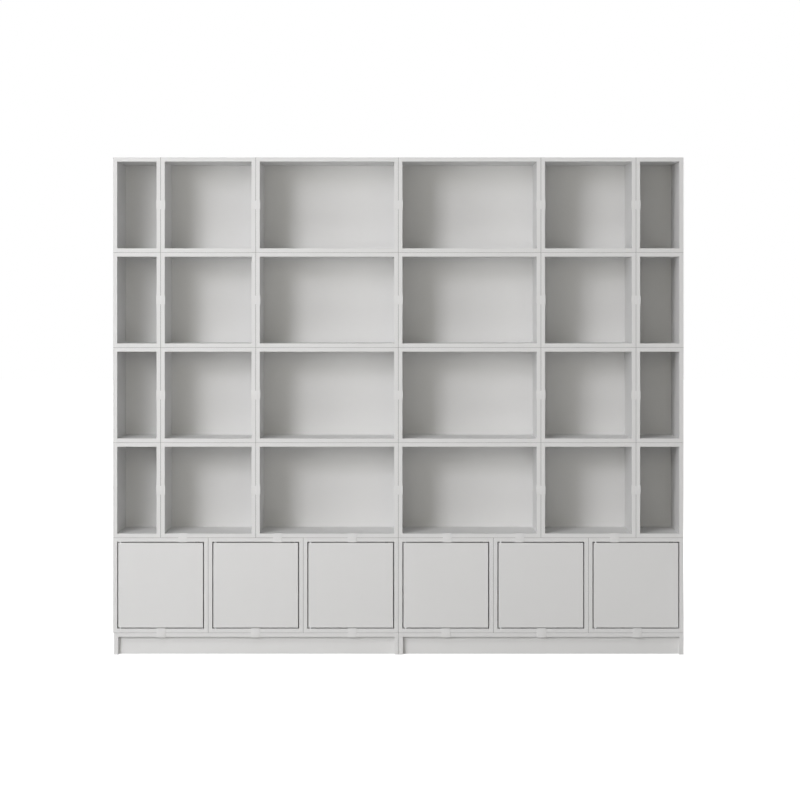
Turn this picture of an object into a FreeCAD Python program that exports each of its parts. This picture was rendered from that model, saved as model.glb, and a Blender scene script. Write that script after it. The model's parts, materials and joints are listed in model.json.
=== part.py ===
import FreeCAD, Part
import os
import Sketcher

# Modular shelving unit: four rows of open box modules on a row of cupboard modules with inset
# push-to-open doors, joined by U-shaped clips and carried by two low plinths.
# Millimetres. X runs to the right, Y to the rear and Z up. The origin is on the floor, under the
# middle of the unit, and half way between the clips' faces and the rear edges.

doc = FreeCAD.newDocument("modular_shelving_unit")

# Driving sizes

DRIVING_SIZES = (
    ("narrow_width", 218, "narrowest module; the others are two and three times as wide"),
    ("module_height", 436, "height of a module"),
    ("module_depth", 350, "depth of a module"),
    ("board_thickness", 19, "boards of a module"),
    ("edge_radius", 1, "rounding of the painted front edges"),
    ("back_thickness", 8, "back panel of a module"),
    ("back_recess", 7, "from the rear edges to the back panel"),
    ("door_thickness", 19, "door panel"),
    ("door_clip_gap", 2.6, "from a clip's leg to the edge of a closed door"),
    ("pivot_from_edge", 10, "from the door's hinge edge to its pivot axis"),
    ("pivot_behind_face", 7, "from the door's front face to its pivot axis"),
    ("pivot_pin_radius", 3, "pin that the door turns on"),
    ("pin_plug_depth", 14, "pivot pin pressed into the module's board"),
    ("pin_reach", 12, "pivot pin inside the door"),
    ("pin_collar_wall", 1.2, "collar that carries the door, beyond the pin"),
    ("running_clearance", 0.05, "between a sliding or turning pair, on the radius"),
    ("press_clearance", 0.02, "between a pressed-in pair, on the radius"),
    ("thrust_clearance", 0.1, "from a pivot pin's collar to the door's bush"),
    ("bush_wall", 1.2, "wall of the pivot bush"),
    ("bush_length", 14, "pivot bush"),
    ("bore_end_clearance", 2, "room past the end of a pressed-in piece"),
    ("strike_size", 14, "side of the square strike plate"),
    ("strike_thickness", 1, "strike plate"),
    ("strike_margin", 1.5, "from the strike plate to the door's top edge"),
    ("latch_from_edge", 30, "from the door's opening edge to the latch's axis"),
    ("latch_wall", 4, "latch body round its plunger"),
    ("latch_screw_wall", 1.2, "latch body round its screw's head"),
    ("latch_screw_grip", 8, "latch's screw inside the module's roof"),
    ("latch_nose_gap", 3, "from the closed door to the latch body"),
    ("latch_corner_radius", 1.5, "rounded long edges of the latch body"),
    ("plunger_radius", 3, "latch plunger"),
    ("plunger_length", 26, "latch plunger"),
    ("plunger_tip_chamfer", 0.8, "latch plunger's tip"),
    ("plunger_bore_depth", 30, "bore for the plunger in the latch body"),
    ("plunger_tip_gap", 0.3, "from the plunger's tip to the strike plate"),
    ("shelf_thickness", 8, "loose shelf behind a door"),
    ("shelf_height", 166, "underside of the loose shelf above the module's bottom"),
    ("shelf_swing_clearance", 3, "from the shelf to the turning door's corner"),
    ("shelf_play", 0.5, "from the shelf to the flanges of its pins"),
    ("shelf_rear_clearance", 1, "from the shelf to the back panel"),
    ("shelf_seat_clearance", 0.05, "from the shelf to its pins"),
    ("shelf_pin_radius", 2.5, "shelf pin"),
    ("shelf_pin_plug", 8, "shelf pin pressed into the side board"),
    ("shelf_pin_reach", 8, "shelf pin past its flange"),
    ("shelf_pin_from_edge", 50, "from the shelf's front or rear edge to a pin"),
    ("pin_flange_wall", 1.8, "shelf pin's flange, beyond the pin"),
    ("pin_flange_thickness", 1, "shelf pin's flange"),
    ("clip_proud", 2, "face of a clip in front of the boards"),
    ("clip_leg_thickness", 1.9, "leg of a clip"),
    ("clip_leg_depth", 20, "leg of a clip behind the front edges"),
    ("clip_length", 40, "clip along the seam"),
    ("clip_clearance", 0.1, "from a clip's leg to the board"),
    ("clip_edge_radius", 0.8, "rounded outer edges of a clip"),
    ("clip_lead_in", 0.9, "bevel at the inner tips of a clip's legs"),
    ("plinth_height", 100, "plinth"),
    ("plinth_board", 19, "boards of the plinth"),
    ("plinth_slip", 2.25, "a plinth is narrower by this than the modules that it carries"),
    ("plinth_rail_clearance", 4, "from a clip's leg to the plinth's front rail"),
    ("bracket_width", 30, "wall bracket"),
    ("bracket_thickness", 2, "wall bracket"),
    ("bracket_foot", 40, "foot of the wall bracket on the top board"),
    ("bracket_leg", 20, "upright leg of the wall bracket"),
    ("bracket_bend_radius", 1.5, "inside of the wall bracket's bend"),
    ("wall_hole_radius", 2.75, "hole for the wall screw"),
    ("wall_hole_height", 11, "wall screw above the unit's top"),
    ("screw_radius", 2, "screw in the top board"),
    ("screw_length", 16, "screw from the bracket down"),
    ("screw_head_radius", 4, "head of the screw"),
    ("screw_head_height", 2.4, "head of the screw"),
    ("screw_from_wall", 26, "from the rear edges to the screw"),
)

sheet = doc.addObject("Spreadsheet::Sheet", "sizes")
for row, (alias, value, note) in enumerate(DRIVING_SIZES, start=1):
    sheet.set(f"A{row}", note)
    sheet.set(f"B{row}", str(value))
    sheet.setAlias(f"B{row}", alias)
doc.recompute()

# Layout of the modules, in units of the narrowest one

OPEN_COLUMNS = (1, 2, 3, 3, 2, 1)
CUPBOARD_COLUMNS = (2, 2, 2, 2, 2, 2)
OPEN_ROWS = 4
UNITS_ACROSS = sum(OPEN_COLUMNS)
PLINTHS = 2
BRACKET_COLUMNS = (2, 5)

# Places of the clips: half way up each open row, and along the two lower seams as shares of the
# module unit from the middle of the unit

CLIP_HEIGHT_SHARE = 0.5
UPPER_CLIP_SHARES = (-4.534, -2.541, -0.970, 1.031, 2.550, 4.549)
PLINTH_CLIP_SHARES = (-4.991, -3.005, -0.970, 1.003, 3.018, 5.028)

# Sizes that follow from the driving ones

LEFT_SIDE = f"(-sizes.narrow_width * {UNITS_ACROSS} / 2)"
FRONT_PLANE = "((sizes.clip_proud - sizes.module_depth) / 2)"
CUPBOARD_WIDTH = f"(sizes.narrow_width * {CUPBOARD_COLUMNS[0]})"
DOOR_GAP = "(sizes.clip_clearance + sizes.clip_leg_thickness + sizes.door_clip_gap)"
DOOR_INSET = f"(sizes.board_thickness + {DOOR_GAP})"
DOOR_WIDTH = f"({CUPBOARD_WIDTH} - 2 * {DOOR_INSET})"
DOOR_HEIGHT = f"(sizes.module_height - 2 * {DOOR_INSET})"
BUSH_RADIUS = "(sizes.pivot_pin_radius + sizes.running_clearance + sizes.bush_wall)"
PIVOT_ACROSS = f"({DOOR_INSET} + sizes.pivot_from_edge)"
LATCH_ACROSS = f"({CUPBOARD_WIDTH} - {DOOR_INSET} - sizes.latch_from_edge)"
LATCH_DROP = f"({DOOR_GAP} + sizes.strike_margin + sizes.strike_size / 2)"
LATCH_HALF_WIDTH = "(sizes.plunger_radius + sizes.running_clearance + sizes.latch_wall)"
LATCH_HEIGHT = f"({LATCH_DROP} + {LATCH_HALF_WIDTH})"
LATCH_NOSE = "(sizes.door_thickness + sizes.latch_nose_gap)"
LATCH_SCREW_ALONG = ("(sizes.plunger_bore_depth + sizes.latch_screw_wall"
                     " + sizes.screw_head_radius)")
LATCH_LENGTH = f"({LATCH_SCREW_ALONG} + sizes.screw_head_radius + sizes.latch_screw_wall)"
PLUNGER_TIP = "(sizes.door_thickness + sizes.strike_thickness + sizes.plunger_tip_gap)"
DOOR_SWING = ("(sizes.pivot_behind_face + sqrt(sizes.pivot_from_edge ^ 2"
              " + (sizes.door_thickness - sizes.pivot_behind_face) ^ 2))")
SHELF_FRONT = f"({DOOR_SWING} + sizes.shelf_swing_clearance)"
BACK_FRONT = "(sizes.module_depth - sizes.back_recess - sizes.back_thickness)"
SHELF_DEPTH = f"({BACK_FRONT} - sizes.shelf_rear_clearance - {SHELF_FRONT})"
SHELF_INSET = "(sizes.board_thickness + sizes.pin_flange_thickness + sizes.shelf_play)"
SHELF_PIN_HEIGHT = ("(sizes.shelf_height - sizes.shelf_seat_clearance"
                    " - sizes.shelf_pin_radius)")
SHELF_PIN_FRONT = f"({SHELF_FRONT} + sizes.shelf_pin_from_edge)"
SHELF_PIN_REAR = f"({SHELF_FRONT} + {SHELF_DEPTH} - sizes.shelf_pin_from_edge)"
CLIP_HALF_GAP = "(sizes.board_thickness + sizes.clip_clearance)"
CLIP_HALF_WIDTH = f"({CLIP_HALF_GAP} + sizes.clip_leg_thickness)"
PLINTH_WIDTH = (f"(sizes.narrow_width * {UNITS_ACROSS // PLINTHS}"
                " - sizes.plinth_slip)")
PLINTH_RECESS = "(sizes.clip_leg_depth + sizes.plinth_rail_clearance)"
UNIT_TOP = f"(sizes.plinth_height + sizes.module_height * {OPEN_ROWS + 1})"

# Tools for sketches and solids

ROUNDING_SHARE = 1e7

def value_of(expression):
    """The number that an expression on the sheet gives now."""
    return float(sheet.evalExpression(expression))


def origin_plane(body, role):
    """One of a body's own origin planes, by its role."""
    for feature in body.Origin.OriginFeatures:
        if feature.Role == role:
            return feature
    raise ValueError(role)


def new_body(name):
    body = doc.addObject("PartDesign::Body", name)
    body.Label = name
    return body


def new_sketch(body, name, role, offset):
    """A sketch on an origin plane of its body, moved along the plane's normal by offset."""
    sketch = body.newObject("Sketcher::SketchObject", name)
    sketch.AttachmentSupport = [(origin_plane(body, role), "")]
    sketch.MapMode = "FlatFace"
    if offset != "0":
        sketch.setExpression("AttachmentOffset.Base.z", offset)
    return sketch


def bind(sketch, kind, axis, geometry, point, expression, name):
    """Hold one coordinate of a sketched point at a value from the sheet."""
    if expression == "0":
        sketch.addConstraint(Sketcher.Constraint("PointOnObject", geometry, point, axis))
        return
    number = sketch.addConstraint(
        Sketcher.Constraint(kind, -1, 1, geometry, point, value_of(expression)))
    sketch.renameConstraint(number, name)
    sketch.setExpression(f"Constraints.{name}", expression)


def outline(body, name, role, corners, offset="0"):
    """A closed outline through corners given as pairs of expressions."""
    sketch = new_sketch(body, name, role, offset)
    points = [FreeCAD.Vector(value_of(across), value_of(up), 0) for across, up in corners]
    count = len(points)
    for index in range(count):
        sketch.addGeometry(Part.LineSegment(points[index], points[(index + 1) % count]))
    for index in range(count):
        follower = (index + 1) % count
        sketch.addConstraint(Sketcher.Constraint("Coincident", index, 2, follower, 1))
    for index, (across, up) in enumerate(corners):
        bind(sketch, "DistanceX", -2, index, 1, across, f"across_{index}")
        bind(sketch, "DistanceY", -1, index, 1, up, f"up_{index}")
    return sketch


def circles(body, name, role, centres, radius, offset="0"):
    """Equal circles about centres given as pairs of expressions."""
    sketch = new_sketch(body, name, role, offset)
    normal = FreeCAD.Vector(0, 0, 1)
    for index, (across, up) in enumerate(centres):
        centre = FreeCAD.Vector(value_of(across), value_of(up), 0)
        sketch.addGeometry(Part.Circle(centre, normal, value_of(radius)))
        number = sketch.addConstraint(
            Sketcher.Constraint("Radius", index, value_of(radius)))
        sketch.renameConstraint(number, f"radius_{index}")
        sketch.setExpression(f"Constraints.radius_{index}", radius)
        bind(sketch, "DistanceX", -2, index, 3, across, f"across_{index}")
        bind(sketch, "DistanceY", -1, index, 3, up, f"up_{index}")
    return sketch


def pad(body, name, sketch, length, backwards=False):
    feature = body.newObject("PartDesign::Pad", name)
    feature.Profile = sketch
    feature.setExpression("Length", length)
    feature.Reversed = backwards
    doc.recompute()
    return feature


def pocket(body, name, sketch, depth, backwards=False):
    """Cut a sketch into the body, and make sure that it does cut."""
    before = body.Shape.Volume
    feature = body.newObject("PartDesign::Pocket", name)
    feature.Profile = sketch
    feature.setExpression("Length", depth)
    feature.Reversed = backwards
    doc.recompute()
    if not feature.Shape.Volume < before:
        raise RuntimeError(f"{name} cuts nothing")
    return feature


def turn(body, name, sketch):
    """A solid of revolution about the sketch's upright axis."""
    feature = body.newObject("PartDesign::Revolution", name)
    feature.Profile = sketch
    feature.ReferenceAxis = (sketch, ["V_Axis"])
    feature.Angle = 360
    doc.recompute()
    return feature


def edges_where(feature, test):
    """Names of the feature's edges whose two ends both pass a test."""
    names = []
    for number, edge in enumerate(feature.Shape.Edges, start=1):
        ends = [vertex.Point for vertex in edge.Vertexes]
        if len(ends) == 2 and test(ends[0], ends[1]):
            names.append(f"Edge{number}")
    if not names:
        raise RuntimeError(f"{feature.Name} has no such edge")
    return names


def round_edges(body, name, feature, test, radius):
    fillet = body.newObject("PartDesign::Fillet", name)
    fillet.Base = (feature, edges_where(feature, test))
    fillet.setExpression("Radius", radius)
    doc.recompute()
    return fillet


def bevel_edges(body, name, feature, test, size):
    chamfer = body.newObject("PartDesign::Chamfer", name)
    chamfer.Base = (feature, edges_where(feature, test))
    chamfer.setExpression("Size", size)
    doc.recompute()
    return chamfer


def same(one, other):
    """Equal but for rounding in the last digits, next to any real size here."""
    return abs(one - other) * ROUNDING_SHARE < value_of("sizes.board_thickness")


def place(piece, across, along, up):
    """Bind a piece's place to the sheet."""
    for axis, expression in (("x", across), ("y", along), ("z", up)):
        if expression != "0":
            piece.setExpression(f"Placement.Base.{axis}", expression)


def copy_of(name, source, across="0", along="0", up="0", turned=None):
    """The source again at another place."""
    piece = doc.addObject("Part::Compound", name)
    piece.Links = [source]
    if turned is not None:
        piece.Placement = FreeCAD.Placement(FreeCAD.Vector(0, 0, 0), turned)
    place(piece, across, along, up)
    return piece


def group(name, pieces):
    gathered = doc.addObject("Part::Compound", name)
    gathered.Links = pieces
    return gathered


def mirrored(name, source, normal, axis, middle):
    """The source's mirror image in an upright or level plane."""
    image = doc.addObject("Part::Mirroring", name)
    image.Source = source
    image.Normal = normal
    image.setExpression(f"Base.{axis}", middle)
    return image


ACROSS = FreeCAD.Vector(1, 0, 0)
ALONG = FreeCAD.Vector(0, 1, 0)
UPWARDS = FreeCAD.Vector(0, 0, 1)
QUARTER = 90

# Boards of a module, mitred where they meet


def on_front(one, other):
    return same(one.y, 0) and same(other.y, 0)


def level_front_edge(one, other):
    return on_front(one, other) and same(one.z, other.z)


def upright_front_edge(one, other):
    return on_front(one, other) and same(one.x, other.x)


def side_board(name):
    body = new_body(name)
    corners = (
        ("0", "0"),
        ("sizes.board_thickness", "sizes.board_thickness"),
        ("sizes.board_thickness", "sizes.module_height - sizes.board_thickness"),
        ("0", "sizes.module_height"),
    )
    sketch = outline(body, f"{name}_outline", "XZ_Plane", corners)
    slab = pad(body, f"{name}_slab", sketch, "sizes.module_depth", backwards=True)
    round_edges(body, f"{name}_eased", slab, upright_front_edge, "sizes.edge_radius")
    return body


def floor_board(name, units):
    body = new_body(name)
    width = f"sizes.narrow_width * {units}"
    corners = (
        ("0", "0"),
        (width, "0"),
        (f"{width} - sizes.board_thickness", "sizes.board_thickness"),
        ("sizes.board_thickness", "sizes.board_thickness"),
    )
    sketch = outline(body, f"{name}_outline", "XZ_Plane", corners)
    slab = pad(body, f"{name}_slab", sketch, "sizes.module_depth", backwards=True)
    round_edges(body, f"{name}_eased", slab, level_front_edge, "sizes.edge_radius")
    return body


def back_panel(name, units):
    panel = doc.addObject("Part::Box", name)
    panel.setExpression("Length", f"sizes.narrow_width * {units} - 2 * sizes.board_thickness")
    panel.setExpression("Width", "sizes.back_thickness")
    panel.setExpression("Height", "sizes.module_height - 2 * sizes.board_thickness")
    place(panel, "sizes.board_thickness", BACK_FRONT, "sizes.board_thickness")
    return panel


def module_of(name, units, side, floor, roof_source):
    """Five boards: two sides, floor, roof and back."""
    middle = f"sizes.narrow_width * {units} / 2"
    other_side = mirrored(f"{name}_right", side, ACROSS, "x", middle)
    roof = mirrored(f"{name}_roof", roof_source, UPWARDS, "z", "sizes.module_height / 2")
    back = back_panel(f"{name}_back", units)
    return group(name, [side, other_side, floor, roof, back])


open_modules = {}
plain_side = side_board("plain_side")
plain_floors = {}
for units in sorted(set(OPEN_COLUMNS)):
    floor = floor_board(f"floor_{units}_units", units)
    plain_floors[units] = floor
    open_modules[units] = module_of(f"box_{units}_units", units, plain_side, floor, floor)

# Module whose roof takes the screw of a wall bracket

BRACKET_UNITS = OPEN_COLUMNS[BRACKET_COLUMNS[0] - 1]
SCREW_ALONG = "(sizes.module_depth - sizes.screw_from_wall)"
SCREW_DEPTH = "(sizes.screw_length - sizes.bracket_thickness)"
drilled_roof = floor_board("drilled_roof", BRACKET_UNITS)
screw_hole = circles(
    drilled_roof, "screw_hole_circle", "XY_Plane",
    [(f"sizes.narrow_width * {BRACKET_UNITS} / 2", SCREW_ALONG)],
    "sizes.screw_radius + sizes.press_clearance")
pocket(drilled_roof, "screw_hole", screw_hole,
       f"{SCREW_DEPTH} + sizes.bore_end_clearance", backwards=True)
bracket_module = module_of(
    "box_with_bracket_hole", BRACKET_UNITS, plain_side, plain_floors[BRACKET_UNITS],
    drilled_roof)

# Cupboard module, bored for the pivot pins and the shelf pins

bored_side = side_board("bored_side")
shelf_pin_holes = circles(
    bored_side, "shelf_pin_circles", "YZ_Plane",
    [(SHELF_PIN_FRONT, SHELF_PIN_HEIGHT), (SHELF_PIN_REAR, SHELF_PIN_HEIGHT)],
    "sizes.shelf_pin_radius + sizes.press_clearance", offset="sizes.board_thickness")
pocket(bored_side, "shelf_pin_holes", shelf_pin_holes,
       "sizes.shelf_pin_plug + sizes.bore_end_clearance")


def pivot_board(name):
    """A floor board with the hole of a pivot pin; turned over, it makes the roof."""
    body = floor_board(name, CUPBOARD_COLUMNS[0])
    hole = circles(
        body, f"{name}_pivot_circle", "XY_Plane", [(PIVOT_ACROSS, "sizes.pivot_behind_face")],
        "sizes.pivot_pin_radius + sizes.press_clearance", offset="sizes.board_thickness")
    pocket(body, f"{name}_pivot_hole", hole,
           "sizes.pin_plug_depth + sizes.bore_end_clearance")
    return body


bored_floor = pivot_board("bored_floor")
bored_roof = pivot_board("bored_roof")
latch_screw_hole = circles(
    bored_roof, "latch_screw_circle", "XY_Plane",
    [(LATCH_ACROSS, f"{LATCH_NOSE} + {LATCH_SCREW_ALONG}")],
    "sizes.screw_radius + sizes.press_clearance", offset="sizes.board_thickness")
pocket(bored_roof, "latch_screw_hole", latch_screw_hole,
       "sizes.latch_screw_grip + sizes.bore_end_clearance")
cupboard = module_of(
    "cupboard", CUPBOARD_COLUMNS[0], bored_side, bored_floor, bored_roof)

# Door, with a bore for a bush at the top and the bottom of its hinge edge

door = new_body("door_panel")
door_face = outline(
    door, "door_outline", "XZ_Plane",
    (("0", "0"), (DOOR_WIDTH, "0"), (DOOR_WIDTH, DOOR_HEIGHT), ("0", DOOR_HEIGHT)))
door_slab = pad(door, "door_slab", door_face, "sizes.door_thickness", backwards=True)
round_edges(door, "door_eased", door_slab,
            lambda one, other: same(one.y, other.y), "sizes.edge_radius")
for end, offset, backwards in (("lower", "0", True), ("upper", DOOR_HEIGHT, False)):
    bush_bore = circles(
        door, f"{end}_bush_circle", "XY_Plane",
        [("sizes.pivot_from_edge", "sizes.pivot_behind_face")],
        f"{BUSH_RADIUS} + sizes.press_clearance", offset=offset)
    pocket(door, f"{end}_bush_bore", bush_bore,
           "sizes.bush_length + sizes.bore_end_clearance", backwards=backwards)

# Pivot bush and pivot pin

bush = new_body("pivot_bush")
bush_ring = circles(bush, "bush_outside", "XY_Plane", [("0", "0")], BUSH_RADIUS)
pad(bush, "bush_rod", bush_ring, "sizes.bush_length")
bush_bore = circles(bush, "bush_inside", "XY_Plane", [("0", "0")],
                    "sizes.pivot_pin_radius + sizes.running_clearance")
pocket(bush, "bush_bore", bush_bore, "sizes.bush_length", backwards=True)

PIN_COLLAR = "(sizes.pivot_pin_radius + sizes.pin_collar_wall)"
PIN_SINK = "(sizes.pin_plug_depth - sizes.press_clearance)"
COLLAR_TOP = f"({PIN_SINK} + {DOOR_GAP} - sizes.thrust_clearance)"
PIN_TOP = f"({PIN_SINK} + {DOOR_GAP} + sizes.pin_reach)"
pivot_pin = new_body("pivot_pin_turned")
pin_profile = outline(
    pivot_pin, "pin_profile", "XZ_Plane",
    (("0", "0"), ("sizes.pivot_pin_radius", "0"),
     ("sizes.pivot_pin_radius", "sizes.pin_plug_depth"),
     (PIN_COLLAR, "sizes.pin_plug_depth"), (PIN_COLLAR, COLLAR_TOP),
     ("sizes.pivot_pin_radius", COLLAR_TOP), ("sizes.pivot_pin_radius", PIN_TOP),
     ("0", PIN_TOP)))
turn(pivot_pin, "pin_solid", pin_profile)

# Strike plate, latch body and latch plunger

strike = new_body("strike_plate")
strike_face = outline(
    strike, "strike_outline", "XZ_Plane",
    (("0", "0"), ("sizes.strike_size", "0"), ("sizes.strike_size", "sizes.strike_size"),
     ("0", "sizes.strike_size")))
strike_slab = pad(strike, "strike_slab", strike_face, "sizes.strike_thickness", backwards=True)
round_edges(strike, "strike_corners", strike_slab,
            lambda one, other: not same(one.y, other.y), "sizes.strike_thickness")

latch = new_body("latch_housing")
latch_face = outline(
    latch, "latch_outline", "XZ_Plane",
    (("0", "0"), (f"2 * {LATCH_HALF_WIDTH}", "0"),
     (f"2 * {LATCH_HALF_WIDTH}", LATCH_HEIGHT), ("0", LATCH_HEIGHT)))
latch_block = pad(latch, "latch_block", latch_face, LATCH_LENGTH, backwards=True)
round_edges(latch, "latch_rounded", latch_block,
            lambda one, other: not same(one.y, other.y) and same(one.z, 0) and same(other.z, 0),
            "sizes.latch_corner_radius")
plunger_circle = circles(
    latch, "plunger_circle", "XZ_Plane", [(LATCH_HALF_WIDTH, LATCH_HALF_WIDTH)],
    "sizes.plunger_radius + sizes.running_clearance")
pocket(latch, "plunger_bore", plunger_circle, "sizes.plunger_bore_depth")
LATCH_SCREW_PLACE = [(LATCH_HALF_WIDTH, LATCH_SCREW_ALONG)]
for part, radius, depth in (
        ("shank", "sizes.screw_radius", LATCH_HEIGHT),
        ("head", "sizes.screw_head_radius",
         f"{LATCH_HEIGHT} + sizes.latch_screw_grip - sizes.screw_length")):
    circle = circles(latch, f"{part}_circle", "XY_Plane", LATCH_SCREW_PLACE,
                     f"{radius} + sizes.press_clearance")
    pocket(latch, f"{part}_hole", circle, depth, backwards=True)

plunger = new_body("latch_plunger_turned")
plunger_profile = outline(
    plunger, "plunger_profile", "XZ_Plane",
    (("0", "0"), ("sizes.plunger_radius - sizes.plunger_tip_chamfer", "0"),
     ("sizes.plunger_radius", "sizes.plunger_tip_chamfer"),
     ("sizes.plunger_radius", "sizes.plunger_length"), ("0", "sizes.plunger_length")))
turn(plunger, "plunger_solid", plunger_profile)

# Loose shelf and shelf pin

shelf = new_body("loose_shelf")
shelf_section = outline(
    shelf, "shelf_outline", "YZ_Plane",
    (("0", "0"), (SHELF_DEPTH, "0"), (SHELF_DEPTH, "sizes.shelf_thickness"),
     ("0", "sizes.shelf_thickness")))
shelf_slab = pad(shelf, "shelf_slab", shelf_section, f"{CUPBOARD_WIDTH} - 2 * {SHELF_INSET}")
round_edges(shelf, "shelf_eased", shelf_slab,
            lambda one, other: on_front(one, other) and same(one.z, other.z),
            "sizes.edge_radius")

PIN_FLANGE = "(sizes.shelf_pin_radius + sizes.pin_flange_wall)"
PEG_TOP = "(sizes.shelf_pin_plug + sizes.pin_flange_thickness + sizes.shelf_pin_reach)"
shelf_pin = new_body("shelf_pin_turned")
shelf_pin_profile = outline(
    shelf_pin, "shelf_pin_profile", "XZ_Plane",
    (("0", "0"), ("sizes.shelf_pin_radius", "0"),
     ("sizes.shelf_pin_radius", "sizes.shelf_pin_plug"),
     (PIN_FLANGE, "sizes.shelf_pin_plug"),
     (PIN_FLANGE, "sizes.shelf_pin_plug + sizes.pin_flange_thickness"),
     ("sizes.shelf_pin_radius", "sizes.shelf_pin_plug + sizes.pin_flange_thickness"),
     ("sizes.shelf_pin_radius", PEG_TOP), ("0", PEG_TOP)))
turn(shelf_pin, "shelf_pin_solid", shelf_pin_profile)

# Clip, a channel that grips the front edges of two boards; its middle is on the seam

clip = new_body("clip_channel")
clip_section = outline(
    clip, "clip_outline", "XY_Plane",
    (("0", "0"), (f"2 * {CLIP_HALF_WIDTH}", "0"),
     (f"2 * {CLIP_HALF_WIDTH}", "sizes.clip_proud + sizes.clip_leg_depth"),
     (f"2 * {CLIP_HALF_WIDTH} - sizes.clip_leg_thickness",
      "sizes.clip_proud + sizes.clip_leg_depth"),
     (f"2 * {CLIP_HALF_WIDTH} - sizes.clip_leg_thickness", "sizes.clip_proud"),
     ("sizes.clip_leg_thickness", "sizes.clip_proud"),
     ("sizes.clip_leg_thickness", "sizes.clip_proud + sizes.clip_leg_depth"),
     ("0", "sizes.clip_proud + sizes.clip_leg_depth")))
clip_channel = pad(clip, "clip_bar", clip_section, "sizes.clip_length")
clip_width = value_of(f"2 * {CLIP_HALF_WIDTH}")
clip_tip = value_of("sizes.clip_proud + sizes.clip_leg_depth")
clip_wall = value_of("sizes.clip_leg_thickness")


def clip_outer_edge(one, other):
    """The outline of the clip's face."""
    return on_front(one, other)


def clip_inner_tip(one, other):
    """The inner edges of the legs' tips, which open the clip as it is pushed on."""
    at_tip = same(one.y, clip_tip) and same(other.y, clip_tip)
    inside = same(one.x, clip_wall) or same(one.x, clip_width - clip_wall)
    return at_tip and inside and same(one.x, other.x)


clip_faced = round_edges(clip, "clip_face_rounded", clip_channel, clip_outer_edge,
                         "sizes.clip_edge_radius")
bevel_edges(clip, "clip_lead_in_bevel", clip_faced, clip_inner_tip, "sizes.clip_lead_in")

# Boards of the plinth

plinth_top = new_body("plinth_top_board")
plinth_top_section = outline(
    plinth_top, "plinth_top_outline", "XZ_Plane",
    (("sizes.plinth_board", "0"), (f"{PLINTH_WIDTH} - sizes.plinth_board", "0"),
     (PLINTH_WIDTH, "sizes.plinth_board"), ("0", "sizes.plinth_board")))
plinth_top_slab = pad(plinth_top, "plinth_top_slab", plinth_top_section,
                      "sizes.module_depth", backwards=True)
round_edges(plinth_top, "plinth_top_eased", plinth_top_slab, level_front_edge,
            "sizes.edge_radius")

plinth_end = new_body("plinth_end_board")
plinth_end_section = outline(
    plinth_end, "plinth_end_outline", "XZ_Plane",
    (("0", "0"), ("sizes.plinth_board", "0"),
     ("sizes.plinth_board", "sizes.plinth_height - sizes.plinth_board"),
     ("0", "sizes.plinth_height")))
plinth_end_slab = pad(plinth_end, "plinth_end_slab", plinth_end_section,
                      "sizes.module_depth", backwards=True)
round_edges(plinth_end, "plinth_end_eased", plinth_end_slab, upright_front_edge,
            "sizes.edge_radius")
plinth_other_end = mirrored("plinth_other_end", plinth_end, ACROSS, "x",
                            f"{PLINTH_WIDTH} / 2")

plinth_rail = doc.addObject("Part::Box", "plinth_rail_board")
plinth_rail.setExpression("Length", f"{PLINTH_WIDTH} - 2 * sizes.plinth_board")
plinth_rail.setExpression("Width", "sizes.plinth_board")
plinth_rail.setExpression("Height", "sizes.plinth_height - sizes.plinth_board")

# Wall bracket and its screw

bracket = new_body("bracket_angle")
bracket_section = outline(
    bracket, "bracket_outline", "YZ_Plane",
    (("0", "0"), ("sizes.bracket_foot", "0"), ("sizes.bracket_foot", "sizes.bracket_leg"),
     ("sizes.bracket_foot - sizes.bracket_thickness", "sizes.bracket_leg"),
     ("sizes.bracket_foot - sizes.bracket_thickness", "sizes.bracket_thickness"),
     ("0", "sizes.bracket_thickness")))
bracket_bar = pad(bracket, "bracket_bar", bracket_section, "sizes.bracket_width")
bend_along = value_of("sizes.bracket_foot - sizes.bracket_thickness")
bend_up = value_of("sizes.bracket_thickness")
round_edges(bracket, "bracket_bend", bracket_bar,
            lambda one, other: same(one.y, bend_along) and same(other.y, bend_along)
            and same(one.z, bend_up) and same(other.z, bend_up),
            "sizes.bracket_bend_radius")
foot_hole = circles(
    bracket, "foot_hole_circle", "XY_Plane",
    [("sizes.bracket_width / 2", "sizes.bracket_foot - sizes.screw_from_wall")],
    "sizes.screw_radius + sizes.press_clearance")
pocket(bracket, "foot_hole", foot_hole, "sizes.bracket_thickness", backwards=True)
wall_hole = circles(
    bracket, "wall_hole_circle", "XZ_Plane",
    [("sizes.bracket_width / 2", "sizes.wall_hole_height")], "sizes.wall_hole_radius",
    offset="-sizes.bracket_foot")
pocket(bracket, "wall_hole", wall_hole, "sizes.bracket_thickness", backwards=True)

screw = new_body("screw_turned")
screw_profile = outline(
    screw, "screw_profile", "XZ_Plane",
    (("0", "0"), ("sizes.screw_radius", "0"), ("sizes.screw_radius", "sizes.screw_length"),
     ("sizes.screw_head_radius", "sizes.screw_length"),
     ("sizes.screw_head_radius", "sizes.screw_length + sizes.screw_head_height / 2"),
     ("sizes.screw_radius", "sizes.screw_length + sizes.screw_head_height"),
     ("0", "sizes.screw_length + sizes.screw_head_height")))
turn(screw, "screw_solid", screw_profile)

# The unit, piece by piece

nodes = []


def row_bottom(row):
    """Height of a row's bottom; row 1 is the top one and the cupboards are the last."""
    rows_below = OPEN_ROWS + 1 - row
    return f"sizes.plinth_height + sizes.module_height * {rows_below}"


def column_left(columns, column):
    """Left side of a column; column 1 is the leftmost."""
    return f"{LEFT_SIDE} + sizes.narrow_width * {sum(columns[:column - 1])}"


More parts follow.
